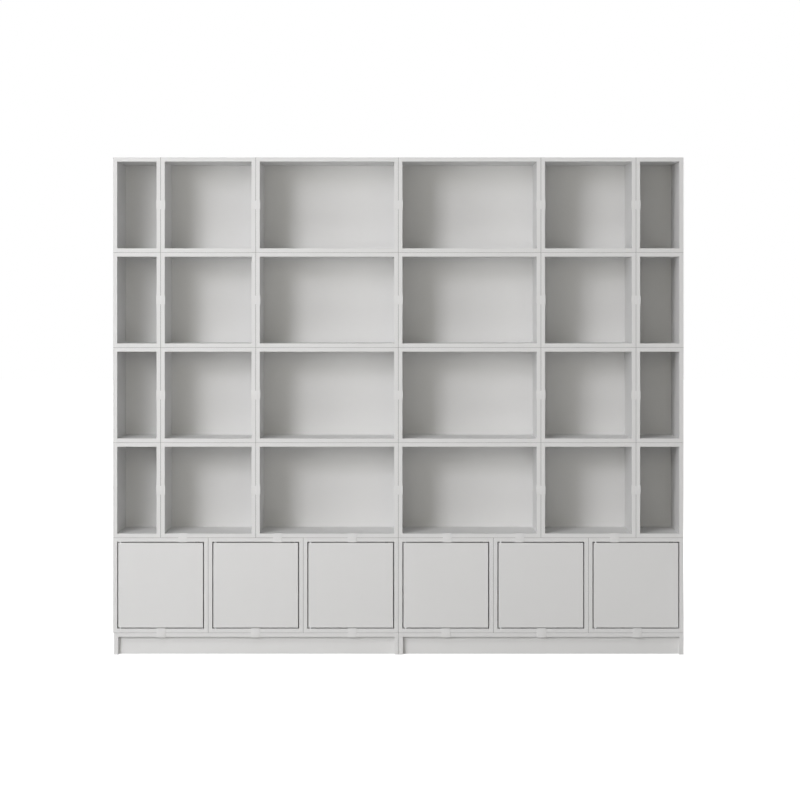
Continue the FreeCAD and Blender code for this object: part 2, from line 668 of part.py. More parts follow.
for row in range(1, OPEN_ROWS + 1):
    for column, units in enumerate(OPEN_COLUMNS, start=1):
        source = open_modules[units]
        if row == 1 and column in BRACKET_COLUMNS:
            source = bracket_module
        nodes.append(copy_of(f"open_module_row{row}_column{column}", source,
                             column_left(OPEN_COLUMNS, column), FRONT_PLANE, row_bottom(row)))

CUPBOARD_BOTTOM = row_bottom(OPEN_ROWS + 1)
DOWNWARDS = FreeCAD.Rotation(ACROSS, 2 * QUARTER)
TO_THE_RIGHT = FreeCAD.Rotation(ALONG, QUARTER)
TO_THE_LEFT = FreeCAD.Rotation(ALONG, -QUARTER)
TO_THE_REAR = FreeCAD.Rotation(ACROSS, -QUARTER)

pivot_pins = []
latch_bodies = []
screws = []
shelves = []
shelf_pins = []
for number in range(1, len(CUPBOARD_COLUMNS) + 1):
    left = column_left(CUPBOARD_COLUMNS, number)
    nodes.append(copy_of(f"cupboard_module_{number}", cupboard, left, FRONT_PLANE,
                         CUPBOARD_BOTTOM))
    nodes.append(copy_of(f"door_{number}", door, f"{left} + {DOOR_INSET}", FRONT_PLANE,
                         f"{CUPBOARD_BOTTOM} + {DOOR_INSET}"))

    pivot_x = f"{left} + {PIVOT_ACROSS}"
    pivot_y = f"{FRONT_PLANE} + sizes.pivot_behind_face"
    latch_x = f"{left} + {LATCH_ACROSS}"
    ceiling = f"{CUPBOARD_BOTTOM} + sizes.module_height - sizes.board_thickness"
    latch_z = f"{ceiling} - {LATCH_DROP}"
    lower_bush = copy_of(f"lower_bush_{number}", bush, pivot_x, pivot_y,
                         f"{CUPBOARD_BOTTOM} + {DOOR_INSET}")
    upper_bush = copy_of(f"upper_bush_{number}", bush, pivot_x, pivot_y,
                         f"{ceiling} - {DOOR_GAP} - sizes.bush_length")
    plate = copy_of(f"strike_{number}", strike, f"{latch_x} - sizes.strike_size / 2",
                    f"{FRONT_PLANE} + sizes.door_thickness",
                    f"{latch_z} - sizes.strike_size / 2")
    nodes.append(group(f"door_fittings_{number}", [lower_bush, upper_bush, plate]))
    nodes.append(copy_of(f"latch_plunger_{number}", plunger, latch_x,
                         f"{FRONT_PLANE} + {PLUNGER_TIP}", latch_z, TO_THE_REAR))

    pivot_pins.append(copy_of(
        f"lower_pin_{number}", pivot_pin, pivot_x, pivot_y,
        f"{CUPBOARD_BOTTOM} + sizes.board_thickness - {PIN_SINK}"))
    pivot_pins.append(copy_of(
        f"upper_pin_{number}", pivot_pin, pivot_x, pivot_y,
        f"{ceiling} + {PIN_SINK}", DOWNWARDS))
    latch_bodies.append(copy_of(
        f"latch_body_{number}", latch, f"{latch_x} - {LATCH_HALF_WIDTH}",
        f"{FRONT_PLANE} + {LATCH_NOSE}", f"{ceiling} - {LATCH_HEIGHT}"))
    screws.append(copy_of(
        f"latch_screw_{number}", screw, latch_x,
        f"{FRONT_PLANE} + {LATCH_NOSE} + {LATCH_SCREW_ALONG}",
        f"{ceiling} + sizes.latch_screw_grip", DOWNWARDS))
    shelves.append(copy_of(
        f"shelf_{number}", shelf, f"{left} + {SHELF_INSET}", f"{FRONT_PLANE} + {SHELF_FRONT}",
        f"{CUPBOARD_BOTTOM} + sizes.shelf_height"))
    for end, along in (("front", SHELF_PIN_FRONT), ("rear", SHELF_PIN_REAR)):
        pin_y = f"{FRONT_PLANE} + {along}"
        pin_z = f"{CUPBOARD_BOTTOM} + {SHELF_PIN_HEIGHT}"
        shelf_pins.append(copy_of(
            f"left_{end}_shelf_pin_{number}", shelf_pin,
            f"{left} + sizes.board_thickness - sizes.shelf_pin_plug", pin_y, pin_z,
            TO_THE_RIGHT))
        shelf_pins.append(copy_of(
            f"right_{end}_shelf_pin_{number}", shelf_pin,
            f"{left} + {CUPBOARD_WIDTH} - sizes.board_thickness + sizes.shelf_pin_plug",
            pin_y, pin_z, TO_THE_LEFT))

nodes.append(group("pivot_pins", pivot_pins))
nodes.append(group("latch_bodies", latch_bodies))
nodes.append(group("inner_shelves", shelves))
nodes.append(group("shelf_pins", shelf_pins))

CLIP_FRONT = f"{FRONT_PLANE} - sizes.clip_proud"
side_clips = []
for row in range(1, OPEN_ROWS + 1):
    for column in range(2, len(OPEN_COLUMNS) + 1):
        side_clips.append(copy_of(
            f"side_clip_row{row}_seam{column - 1}", clip,
            f"{column_left(OPEN_COLUMNS, column)} - {CLIP_HALF_WIDTH}", CLIP_FRONT,
            f"{row_bottom(row)} + sizes.module_height * {CLIP_HEIGHT_SHARE}"
            " - sizes.clip_length / 2"))
nodes.append(group("side_clips", side_clips))


def seam_clips(name, shares, seam):
    """Clips turned to lie along a level seam."""
    clips = []
    for number, share in enumerate(shares, start=1):
        clips.append(copy_of(
            f"{name}_{number}", clip,
            f"sizes.narrow_width * {share} - sizes.clip_length / 2", CLIP_FRONT,
            f"{seam} + {CLIP_HALF_WIDTH}", TO_THE_RIGHT))
    return group(name, clips)


nodes.append(seam_clips("cupboard_top_clips", UPPER_CLIP_SHARES, row_bottom(OPEN_ROWS)))
nodes.append(seam_clips("plinth_clips", PLINTH_CLIP_SHARES, CUPBOARD_BOTTOM))

plinth_tops = []
plinth_ends = []
plinth_rails = []
for number in range(1, PLINTHS + 1):
    plinths_to_right = PLINTHS + 1 - number
    left = (f"sizes.narrow_width * {UNITS_ACROSS} / 2"
            f" - {PLINTH_WIDTH} * {plinths_to_right}")
    plinth_tops.append(copy_of(f"plinth_top_{number}", plinth_top, left, FRONT_PLANE,
                               "sizes.plinth_height - sizes.plinth_board"))
    plinth_ends.append(copy_of(f"plinth_left_end_{number}", plinth_end, left, FRONT_PLANE))
    plinth_ends.append(copy_of(f"plinth_right_end_{number}", plinth_other_end, left,
                               FRONT_PLANE))
    plinth_rails.append(copy_of(f"plinth_front_rail_{number}", plinth_rail,
                                f"{left} + sizes.plinth_board",
                                f"{FRONT_PLANE} + {PLINTH_RECESS}"))
    plinth_rails.append(copy_of(
        f"plinth_rear_rail_{number}", plinth_rail, f"{left} + sizes.plinth_board",
        f"{FRONT_PLANE} + sizes.module_depth - {PLINTH_RECESS} - sizes.plinth_board"))
nodes.append(group("plinth_tops", plinth_tops))
nodes.append(group("plinth_ends", plinth_ends))
nodes.append(group("plinth_rails", plinth_rails))

brackets = []
for number, column in enumerate(BRACKET_COLUMNS, start=1):
    middle = (f"{column_left(OPEN_COLUMNS, column)}"
              f" + sizes.narrow_width * {BRACKET_UNITS} / 2")
    rear = f"{FRONT_PLANE} + sizes.module_depth"
    brackets.append(copy_of(f"bracket_{number}", bracket,
                            f"{middle} - sizes.bracket_width / 2",
                            f"{rear} - sizes.bracket_foot", UNIT_TOP))
    screws.append(copy_of(f"bracket_screw_{number}", screw, middle,
                          f"{rear} - sizes.screw_from_wall",
                          f"{UNIT_TOP} + sizes.bracket_thickness - sizes.screw_length"))
nodes.append(group("wall_brackets", brackets))
nodes.append(group("wood_screws", screws))

# Check every object, then write the pieces

doc.recompute()
for item in doc.Objects:
    if "Invalid" in item.State or "Error" in item.State:
        raise RuntimeError(f"{item.Name}: {item.State}")

os.makedirs("parts", exist_ok=True)
solids = 0
for node in nodes:
    shape = node.Shape
    if shape.isNull() or not shape.isValid() or not shape.Solids:
        raise RuntimeError(f"{node.Name} has no sound shape")
    node.Label = node.Name
    solids += len(shape.Solids)
for node in nodes:
    node.Shape.exportStep(f"parts/{node.Name}.step")

whole = Part.makeCompound([node.Shape for node in nodes]).BoundBox
print(f"{len(nodes)} nodes, {solids} solids")
print(f"{whole.XLength:.2f} x {whole.YLength:.2f} x {whole.ZLength:.2f} mm")
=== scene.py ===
"""Dresses the modular shelving unit: paint, moulded clips and fittings, on a pale stage."""

import json
import math
from functools import reduce

import bmesh
import bpy
from bpy.props import FloatProperty, FloatVectorProperty, IntProperty, PointerProperty
from bpy.types import Operator, Panel, PropertyGroup
from mathutils import Matrix, Vector
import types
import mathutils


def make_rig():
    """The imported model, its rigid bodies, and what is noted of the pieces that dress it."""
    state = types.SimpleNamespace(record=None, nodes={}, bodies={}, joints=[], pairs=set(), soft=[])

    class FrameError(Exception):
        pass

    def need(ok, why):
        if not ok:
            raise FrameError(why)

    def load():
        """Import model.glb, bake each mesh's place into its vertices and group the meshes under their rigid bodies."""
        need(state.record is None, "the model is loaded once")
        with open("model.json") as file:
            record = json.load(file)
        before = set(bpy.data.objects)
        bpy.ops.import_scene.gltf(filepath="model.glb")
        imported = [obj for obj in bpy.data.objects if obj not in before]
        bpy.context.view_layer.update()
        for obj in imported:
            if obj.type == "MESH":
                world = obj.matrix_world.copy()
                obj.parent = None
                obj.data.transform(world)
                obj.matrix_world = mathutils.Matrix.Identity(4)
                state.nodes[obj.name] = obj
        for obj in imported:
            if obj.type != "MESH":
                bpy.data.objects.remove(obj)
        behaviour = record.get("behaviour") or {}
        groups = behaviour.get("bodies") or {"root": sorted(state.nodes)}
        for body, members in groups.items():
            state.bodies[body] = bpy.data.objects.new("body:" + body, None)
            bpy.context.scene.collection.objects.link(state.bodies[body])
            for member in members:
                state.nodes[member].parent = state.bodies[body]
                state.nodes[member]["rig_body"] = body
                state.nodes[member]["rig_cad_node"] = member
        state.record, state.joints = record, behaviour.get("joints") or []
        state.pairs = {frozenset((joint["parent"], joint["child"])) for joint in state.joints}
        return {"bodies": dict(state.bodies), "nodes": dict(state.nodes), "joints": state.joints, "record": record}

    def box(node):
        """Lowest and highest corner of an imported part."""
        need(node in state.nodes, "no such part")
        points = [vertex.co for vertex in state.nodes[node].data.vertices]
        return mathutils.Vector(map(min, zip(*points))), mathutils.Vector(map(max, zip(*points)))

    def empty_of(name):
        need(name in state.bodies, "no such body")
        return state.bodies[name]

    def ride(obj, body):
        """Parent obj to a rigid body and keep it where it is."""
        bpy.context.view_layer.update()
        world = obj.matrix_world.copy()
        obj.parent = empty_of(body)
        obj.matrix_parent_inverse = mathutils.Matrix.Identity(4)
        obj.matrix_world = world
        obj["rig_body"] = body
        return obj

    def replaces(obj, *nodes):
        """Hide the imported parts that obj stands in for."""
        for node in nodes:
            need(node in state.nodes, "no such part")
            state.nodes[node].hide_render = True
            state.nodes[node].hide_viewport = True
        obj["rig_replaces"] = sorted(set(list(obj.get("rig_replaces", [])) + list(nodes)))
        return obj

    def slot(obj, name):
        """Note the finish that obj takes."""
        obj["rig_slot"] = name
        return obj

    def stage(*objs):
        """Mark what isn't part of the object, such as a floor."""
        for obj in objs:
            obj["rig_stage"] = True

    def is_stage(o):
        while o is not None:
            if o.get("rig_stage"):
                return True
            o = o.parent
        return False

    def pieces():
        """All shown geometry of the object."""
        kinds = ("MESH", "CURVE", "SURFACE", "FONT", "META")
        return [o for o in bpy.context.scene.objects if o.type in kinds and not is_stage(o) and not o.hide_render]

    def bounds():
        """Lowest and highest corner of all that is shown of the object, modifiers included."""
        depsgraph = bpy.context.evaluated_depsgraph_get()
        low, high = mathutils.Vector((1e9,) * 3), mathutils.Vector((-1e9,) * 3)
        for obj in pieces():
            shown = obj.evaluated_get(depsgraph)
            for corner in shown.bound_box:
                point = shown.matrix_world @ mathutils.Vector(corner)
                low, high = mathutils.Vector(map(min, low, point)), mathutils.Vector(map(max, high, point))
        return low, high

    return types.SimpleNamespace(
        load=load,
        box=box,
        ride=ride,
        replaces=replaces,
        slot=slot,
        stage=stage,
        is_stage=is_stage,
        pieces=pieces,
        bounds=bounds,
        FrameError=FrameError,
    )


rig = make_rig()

bl_info = {
    "name": "Modular shelving unit",
    "version": (1, 0, 0),
    "blender": (4, 5, 0),
    "location": "View3D > Sidebar > Shelving",
    "description": "Finishes and stages a wall of box modules with push-to-open cupboards",
    "category": "Object",
}

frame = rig.load()
cad_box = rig.bounds()

MM = 0.001
# Vertices nearer than this are one
WELD = 0.001 * MM
# Places nearer than this are in line
FLUSH = 0.01 * MM
# Decimals of a metre that tell places apart
DIGITS = 4
# A face looks one way if this much of its normal does
SQUARE_ON = 0.99
SHARP_ANGLE = math.radians(35)
UP = Vector((0, 0, 1))
BACK = Vector((0, 1, 0))
AS_DRAWN = Matrix.Identity(4)
WHITE = (1.0, 1.0, 1.0)

CARCASS = "carcass"
OPEN_MODULES = tuple(name for name in frame["nodes"] if name.startswith("open_module"))
CUPBOARD_MODULES = tuple(name for name in frame["nodes"] if name.startswith("cupboard_module"))
CUPBOARDS = range(1, 1 + len(CUPBOARD_MODULES))
PLINTHS = ("plinth_tops", "plinth_ends", "plinth_rails")
CLIPS = ("side_clips", "cupboard_top_clips", "plinth_clips")
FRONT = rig.box(CUPBOARD_MODULES[0])[0].y
MIDDLE = (cad_box[0] + cad_box[1]) / 2


# Shader maths


class Number:
    """A value on a shader socket; sums and products of it add Math nodes."""

    def __init__(self, finish, socket):
        self.finish = finish
        self.socket = socket

    def __add__(self, other):
        return self.finish.maths("ADD", self, other)

    def __radd__(self, other):
        return self.finish.maths("ADD", other, self)

    def __sub__(self, other):
        return self.finish.maths("SUBTRACT", self, other)

    def __rsub__(self, other):
        return self.finish.maths("SUBTRACT", other, self)

    def __mul__(self, other):
        return self.finish.maths("MULTIPLY", self, other)

    def __rmul__(self, other):
        return self.finish.maths("MULTIPLY", other, self)

    def __truediv__(self, other):
        return self.finish.maths("DIVIDE", self, other)


class Finish:
    """The nodes of a material, or of the world."""

    def __init__(self, owner):
        owner.use_nodes = True
        self.owner = owner
        self.tree = owner.node_tree
        self.tree.nodes.clear()

    def node(self, kind, sockets=None, output=0, **settings):
        """One node: its settings are set first, then its sockets' values or links."""
        made = self.tree.nodes.new(kind)
        for name, value in settings.items():
            setattr(made, name, value)
        for name, value in (sockets or {}).items():
            if isinstance(value, Number):
                self.tree.links.new(value.socket, made.inputs[name])
            else:
                made.inputs[name].default_value = value
        return Number(self, made.outputs[output]) if made.outputs else None

    def maths(self, operation, first, second):
        return self.node("ShaderNodeMath", {0: first, 1: second}, operation=operation)

    def clamped(self, value):
        """A value kept between 0 and 1."""
        return self.node("ShaderNodeClamp", {"Value": value}, "Result")

    def distance(self, value, places):
        """How far a value is from the nearest of some places."""
        gaps = [self.maths("ABSOLUTE", value - place, 0.0) for place in places]
        return reduce(lambda one, other: self.maths("MINIMUM", one, other), gaps)

    def place(self):
        """The place on the object, in metres."""
        return self.node("ShaderNodeTexCoord", output="Object")

    def axis(self, place, name):
        """One axis of a place."""
        return self.node("ShaderNodeSeparateXYZ", {0: place}, name)

    def reach(self, place):
        """How far a place is from the object's origin."""
        return self.node("ShaderNodeVectorMath", {0: place}, "Value", operation="LENGTH")

    def stretched(self, place, scale):
        """A place scaled by axis: under 1, a pattern grows long that way."""
        return self.node("ShaderNodeMapping", {"Vector": place, "Scale": scale})

    def noise(self, place, size, detail=1.0, roughness=0.5):
        """Noise about 0, with features about as large as size."""
        mean = 0.5
        return self.node("ShaderNodeTexNoise", {
            "Vector": place, "Scale": 1 / size, "Detail": detail, "Roughness": roughness,
        }, "Fac") - mean

    def tinted(self, colour, tone):
        """A colour made lighter or darker by a changing tone."""
        return self.node("ShaderNodeVectorMath", {0: tuple(colour), "Scale": tone}, "Vector",
                         operation="SCALE")

    def bump(self, height, depth):
        """The normal of a relief: its height times a depth in metres."""
        return self.node("ShaderNodeBump",
                         {"Height": height, "Distance": depth, "Strength": 1.0}, "Normal")

    def surface(self, sockets):
        """Ends a material in a Principled shader and gives the material."""
        shader = self.node("ShaderNodeBsdfPrincipled", sockets)
        self.node("ShaderNodeOutputMaterial", {"Surface": shader})
        return self.owner


def shared(name, make, *values):
    """The finish of this name, made when it is first asked for."""
    return bpy.data.materials.get(name) or make(Finish(bpy.data.materials.new(name)), *values)


# Finishes


def sprayed_paint(finish, look, seams=()):
    """Satin paint sprayed on fibreboard: dimples, dust nibs, drier front edges, and painted shade in the seams between
    modules.
    """
    place = finish.place()
    dimples = finish.noise(place, look.dimple_size)
    nibs = finish.noise(place, look.nib_size, detail=0.0)
    drift = finish.noise(place, look.drift_size)
    clouds = finish.noise(place, look.cloud_size, detail=2.0)
    behind_front = finish.axis(place, "Y") - FRONT
    edge = 1 - finish.clamped(behind_front / look.edge_reach)
    tone = 1 + drift * look.drift + clouds * look.clouds + nibs * look.nibs
    tone = tone - edge * look.edge_tone
    # Painted shade: each seam between modules is darkened in a thin line that stands for the shade in the gap between
    # them
    for axis, places, width in seams:
        inside = width / 2 - finish.distance(finish.axis(place, axis), places)
        tone = tone * (1 - finish.clamped(inside / look.seam_blur) * look.seam_depth)
    return finish.surface({
        "Base Color": finish.tinted(look.colour, tone),
        "Roughness": look.roughness + clouds * look.sheen_change + edge * look.edge_roughness,
        "Specular IOR Level": look.gloss,
        "Normal": finish.bump(dimples + nibs * look.nib_share, look.relief),
    })


def moulded_plastic(finish, colour, roughness, grain_size, gloss=0.5):
    """Plastic with the spark grain of its mould and faint flow marks."""
    grain_tone, grain_sheen, grain_relief = 0.04, 0.12, grain_size / 30
    flow_tone, flow_sheen, flow_size = 0.03, 0.06, 12 * grain_size
    place = finish.place()
    grain = finish.noise(place, grain_size, detail=2.0, roughness=0.7)
    flow = finish.noise(place, flow_size)
    return finish.surface({
        "Base Color": finish.tinted(colour, 1 + grain * grain_tone + flow * flow_tone),
        "Roughness": roughness + grain * grain_sheen + flow * flow_sheen,
        "Specular IOR Level": gloss,
        "Normal": finish.bump(grain, grain_relief),
    })


def plated_steel(finish, colour, roughness):
    """Zinc plating: rolling lines of the sheet, blotches and small scratches."""
    rolled_size, rolled_tone, long_in_y = 0.4 * MM, 0.08, (1.0, 0.06, 1.0)
    blotch_size, blotch_tone, blotch_sheen = 5 * MM, 0.18, 0.18
    scratch_size, scratch_sheen, long_in_x = 0.3 * MM, 0.12, (0.04, 1.0, 1.0)
    relief, scratch_share = 0.02 * MM, 0.5
    place = finish.place()
    rolled = finish.noise(finish.stretched(place, long_in_y), rolled_size, detail=2.0,
                          roughness=0.6)
    blotches = finish.noise(place, blotch_size, detail=3.0, roughness=0.6)
    scratches = finish.noise(finish.stretched(place, long_in_x), scratch_size)
    return finish.surface({
        "Base Color": finish.tinted(colour, 1 + blotches * blotch_tone + rolled * rolled_tone),
        "Metallic": 1.0,
        "Roughness": roughness + blotches * blotch_sheen + scratches * scratch_sheen,
        "Normal": finish.bump(rolled + scratches * scratch_share, relief),
    })


# Kinds of setting


def setting(kind, **rules):
    """A kind of setting that takes its name, its description and its default."""
    return lambda name, description, default: kind(
        name=name, description=description, default=default, **rules)


metres = setting(FloatProperty, unit="LENGTH")
share = setting(FloatProperty, min=0, max=1)
watts = setting(FloatProperty, unit="POWER")
tint = setting(FloatVectorProperty, subtype="COLOR", min=0, max=1)
spot = setting(FloatVectorProperty, subtype="TRANSLATION")
spread = setting(FloatVectorProperty, size=2, unit="LENGTH")
count = setting(IntProperty, min=12)


# Sizes and colours that a user would change


class PaintLook(PropertyGroup):
    """Paint of the boards and doors"""

    colour: tint("Paint", "Colour of the sprayed paint", (0.73, 0.73, 0.73))
    roughness: share("Roughness", "Sheen of the satin paint", 0.50)
    gloss: share("Gloss", "Strength of the paint's reflections", 0.25)
    sheen_change: share("Sheen change", "Cloudy change of the sheen", 0.10)
    dimple_size: metres("Dimples", "Size of the paint's dimples", 2.2 * MM)
    nib_size: metres("Nibs", "Size of the dust nibs", 0.5 * MM)
    nib_share: share("Nib relief", "Height of the nibs beside the dimples", 0.25)
    nibs: share("Nib tone", "Tone of the nibs", 0.02)
    drift_size: metres("Drift", "Reach of the slow change of tone", 0.9)
    drift: share("Drift tone", "Slow change of tone", 0.02)
    cloud_size: metres("Clouds", "Size of the spray's clouds", 0.05)
    clouds: share("Cloud tone", "Tone of the clouds", 0.012)
    relief: metres("Relief", "Depth of the dimples", 0.04 * MM)
    edge_reach: metres("Edge", "Reach of the drier front edges", 1.2 * MM)
    edge_tone: share("Edge tone", "Darkening of the drier front edges", 0.01)
    edge_roughness: share("Edge roughness", "Added roughness at the front edges", 0.05)
    # Painted shade in the seams: width of the darkened line between modules side by side and stacked, its soft edge,
    # and how much it darkens
    upright_seam: metres("Upright seam", "Dark seam between modules side by side", 1.4 * MM)
    level_seam: metres("Level seam", "Dark seam between stacked modules", 1.0 * MM)
    seam_blur: metres("Seam blur", "Width of a seam's soft edge", 0.12 * MM)
    seam_depth: share("Seam depth", "Darkening in a seam", 0.85)


class FittingLook(PropertyGroup):
    """Plastics and steel of the clips and fittings"""

    clip_roughness: share("Clips", "Sheen of the clips", 0.50)
    clip_gloss: share("Clip gloss", "Strength of the clips' reflections", 0.25)
    clip_grain: metres("Clip grain", "Grain of the clips", 0.6 * MM)
    zinc: tint("Zinc", "Colour of the zinc plating", (0.56, 0.57, 0.58))
    zinc_roughness: share("Zinc sheen", "Sheen of the zinc plating", 0.34)
    latch: tint("Latch", "Colour of the latch bodies", (0.19, 0.19, 0.195))
    plunger: tint("Plunger", "Colour of the latch plungers", (0.42, 0.42, 0.42))
    latch_roughness: share("Latch sheen", "Sheen of the latches", 0.45)
    latch_grain: metres("Latch grain", "Grain of the latches", 0.4 * MM)


class ClipSizes(PropertyGroup):
    """Sizes of the clips"""

    face: metres("Face", "Thickness of the face", 2 * MM)
    leg: metres("Leg", "Thickness of a leg", 1.9 * MM)
    edge: metres("Edge", "Rounding of the face's outline", 0.35 * MM)
    root: metres("Root", "Fillet between face and leg", 0.6 * MM)
    lead_in: metres("Lead-in", "Bevel inside the legs' tips", 0.9 * MM)
    tip: metres("Tip", "Rounding outside the legs' tips", 0.3 * MM)


class PinSizes(PropertyGroup):
    """Sizes of the turned pins and bushes"""

    sides: count("Sides", "Facets of a turned piece", 40)
    chamfer: metres("Chamfer", "Chamfer of a turned piece", 0.4 * MM)
    pivot_radius: metres("Pivot pin", "Radius of a pivot pin", 3 * MM)
    pivot_plug: metres("Pivot plug", "Pivot pin in the board", 14 * MM)
    pivot_collar: metres("Pivot collar", "Height of the collar under the door", 4.48 * MM)
    bush_bore: metres("Bush bore", "Radius of a bush's bore", 3.05 * MM)
    peg_radius: metres("Shelf pin", "Radius of a shelf pin", 2.5 * MM)
    peg_plug: metres("Shelf pin's plug", "Shelf pin in the board", 8 * MM)
    peg_flange: metres("Shelf pin's flange", "Thickness of the flange", 1 * MM)


class LatchSizes(PropertyGroup):
    """Sizes of the latches, plungers and strike plates"""

    corner: metres("Corner", "Rounding of the body's lower long edges", 1.5 * MM)
    ease: metres("Ease", "Rounding of the body's other edges", 0.4 * MM)
    lip_radius: metres("Lip", "Shallow sink round the plunger", 4.6 * MM)
    lip_depth: metres("Lip depth", "Depth of the sink", 0.5 * MM)
    bore_radius: metres("Bore", "Radius of the plunger's bore", 3.05 * MM)
    bore_depth: metres("Bore depth", "Depth of the plunger's bore", 30 * MM)
    magnet_radius: metres("Magnet", "Radius of the magnet in the plunger's tip", 2 * MM)
    magnet_gap: metres("Magnet gap", "Groove round the magnet", 0.25 * MM)
    tip_edge: metres("Tip", "Rounding of the plunger's tip", 0.6 * MM)
    strike_corner: metres("Strike corner", "Corners of the strike plate", 1 * MM)
    strike_dish: metres("Strike dish", "Radius of the dish round the strike's screw", 3.4 * MM)
    strike_groove: metres("Strike groove", "Depth of that dish", 0.25 * MM)
    strike_screw: metres("Strike screw", "Radius of the strike's screw head", 2.9 * MM)
    strike_sink: metres("Strike sink", "Depth of the screw head's face", 0.05 * MM)
    strike_recess: metres("Strike recess", "Depth of the screw's cross recess", 0.5 * MM)


class BracketSizes(PropertyGroup):
    """Sizes of the wall brackets"""

    sheet: metres("Sheet", "Thickness of the steel", 2 * MM)
    bend: metres("Bend", "Inner radius of the bend", 1.5 * MM)
    corner: metres("Corner", "Rounded free corners", 4 * MM)
    wall_hole: metres("Wall hole", "Radius of the wall screw's hole", 2.75 * MM)
    wall_hole_height: metres("Wall hole height", "Wall hole above the foot", 11 * MM)
    foot_hole: metres("Foot hole", "Radius of the foot's hole", 2.02 * MM)
    foot_hole_back: metres("Foot hole place", "From the wall to the foot's hole", 26 * MM)
    ease: metres("Ease", "Rounding of the punched edges", 0.25 * MM)


class ScrewSizes(PropertyGroup):
    """Sizes of the pan-head screws"""

    head: metres("Head", "Radius of the head", 4 * MM)
    head_height: metres("Head height", "Height of the head", 2.4 * MM)
    head_rim: metres("Head rim", "Upright rim of the head", 0.6 * MM)
    shank: metres("Shank", "Radius of the shank", 2 * MM)
    point: metres("Point", "Length of the point", 3 * MM)
    point_radius: metres("Point radius", "Radius of the blunt point", 0.4 * MM)
    recess: metres("Recess", "Across the cross recess", 4.2 * MM)
    recess_depth: metres("Recess depth", "Depth of the cross recess", 1.5 * MM)


class PhotoView(PropertyGroup):
    """The camera"""

    distance: metres("Distance", "From the unit's fronts to the camera", 10.72)
    height: metres("Height", "Camera above the floor", 1.594)
    across: metres("Across", "Camera to the right of the unit's middle", 7.75 * MM)
    width: metres("Width", "Seen across the picture at the fronts", 3.6686)
    horizon: share("Horizon", "Horizon above the middle, as a share of the picture", 0.11625)


class StageLights(PropertyGroup):
    """The lamps, the white room and the floor"""

    ambient: share("Ambient", "Light of the white room", 0.162)
    key_power: watts("Key", "Upright soft box at the left", 76.0)
    key_place: spot("Key place", "Middle of the key light", (-2.95, -5.67, 2.6))
    key_size: spread("Key size", "Width and height of the key light", (1.4, 2.0))
    wing_power: watts("Wing", "Wide soft box beside the key", 91.5)
    wing_place: spot("Wing place", "Middle of the wing light", (-5.4, -5.67, 1.3))
    wing_size: spread("Wing size", "Width and height of the wing light", (3.2, 2.0))
    window_power: watts("Window", "Cool light from far off at the left", 271.0)
    window_place: spot("Window place", "Middle of the far light", (-6.5, -12.5, 6.0))
    window_size: spread("Window size", "Width and height of the far light", (3.0, 3.0))
    window_colour: tint("Window colour", "Colour of the far light", (0.968, 0.95, 1.0))
    overhead_power: watts("Overhead", "Light from high above the front", 301.0)
    overhead_place: spot("Overhead place", "Middle of the high light", (-4.0, -8.0, 10.0))
    overhead_size: spread("Overhead size", "Width and height of the high light", (4.0, 3.0))
    fill_power: watts("Fill", "Broad warm light from the front", 62.5)
    fill_place: spot("Fill place", "Middle of the broad light", (0.0, -7.0, 2.0))
    fill_size: spread("Fill size", "Width and height of the broad light", (5.0, 2.5))
    fill_colour: tint("Fill colour", "Colour of the broad light", (1.0, 0.963, 0.833))
    rear_power: watts("Rear", "Light on the back and the right side", 250.0)
    rear_place: spot("Rear place", "Middle of the rear light", (5.0, 4.5, 3.5))
    rear_size: spread("Rear size", "Width and height of the rear light", (2.5, 2.5))
    floor_reach: metres("Floor reach", "From the floor's middle to its edges", 40.0)
    floor_tone: share("Floor", "Tone of the pale floor", 0.62)
    floor_shade: share("Floor shade", "White that the floor lacks near the unit", 0.26)
    floor_near: metres("Floor near", "Reach of that shade from the unit's middle", 2.0)
    floor_fade: metres("Floor fade", "Width of the shade's soft edge", 2.0)


# Modelling tools


def corners_of(verts):
    """Lowest and highest corner of some vertices."""
    along_axes = list(zip(*(vert.co for vert in verts)))
    return Vector([*map(min, along_axes)]), Vector([*map(max, along_axes)])


def solids_of(node):
    """The corners of each loose solid of a CAD node, from left to right, then upwards."""
    work = bmesh.new()
    work.from_mesh(frame["nodes"][node].data)
    bmesh.ops.remove_doubles(work, verts=work.verts, dist=WELD)
    left = set(work.verts)
    solids = []
    while left:
        solid = [left.pop()]
        for vert in solid:
            for edge in vert.link_edges:
                other = edge.other_vert(vert)
                if other in left:
                    left.remove(other)
                    solid.append(other)
        solids.append(corners_of(solid))
    work.free()
    return sorted(solids, key=lambda box: [round(part, DIGITS) for part in box[0].xzy])


def block(low, high):
    """A box between two corners."""
    work = bmesh.new()
    bmesh.ops.create_cube(work, size=1.0)
    bmesh.ops.scale(work, vec=high - low, verts=work.verts)
    bmesh.ops.translate(work, vec=(low + high) / 2, verts=work.verts)
    return work


def cut_across(work, place, normal):
    """Divides the faces that a plane goes through."""
    bmesh.ops.bisect_plane(work, geom=work.verts[:] + work.edges[:] + work.faces[:],
                           plane_co=place, plane_no=normal)


def near(one, other):
    """Whether two places on an axis are in line."""
    return abs(one - other) < FLUSH


def edges_at(work, **places):
    """Edges that lie at one of the given places on each of the named axes."""
    def lies(edge, axis, choices):
        ends = [getattr(vert.co, axis) for vert in edge.verts]
        return any(all(near(end, choice) for end in ends) for choice in choices)

    return [edge for edge in work.edges
            if all(lies(edge, axis, choices) for axis, choices in places.items())]


def rounded(work, edges, radius, segments):
    """Rounds edges, or chamfers them with one segment."""
    bmesh.ops.bevel(work, geom=edges, offset=radius, offset_type="OFFSET", segments=segments,
                    profile=0.5, affect="EDGES", material=-1)


def new_verts(made):
    """The vertices among what an operator made."""
    return [item for item in made["geom"] if isinstance(item, bmesh.types.BMVert)]


def edges_among(verts):
    """Edges that join vertices of a group, each once."""
    group = set(verts)
    return list(dict.fromkeys(edge for vert in verts for edge in vert.link_edges
                              if edge.other_vert(vert) in group))


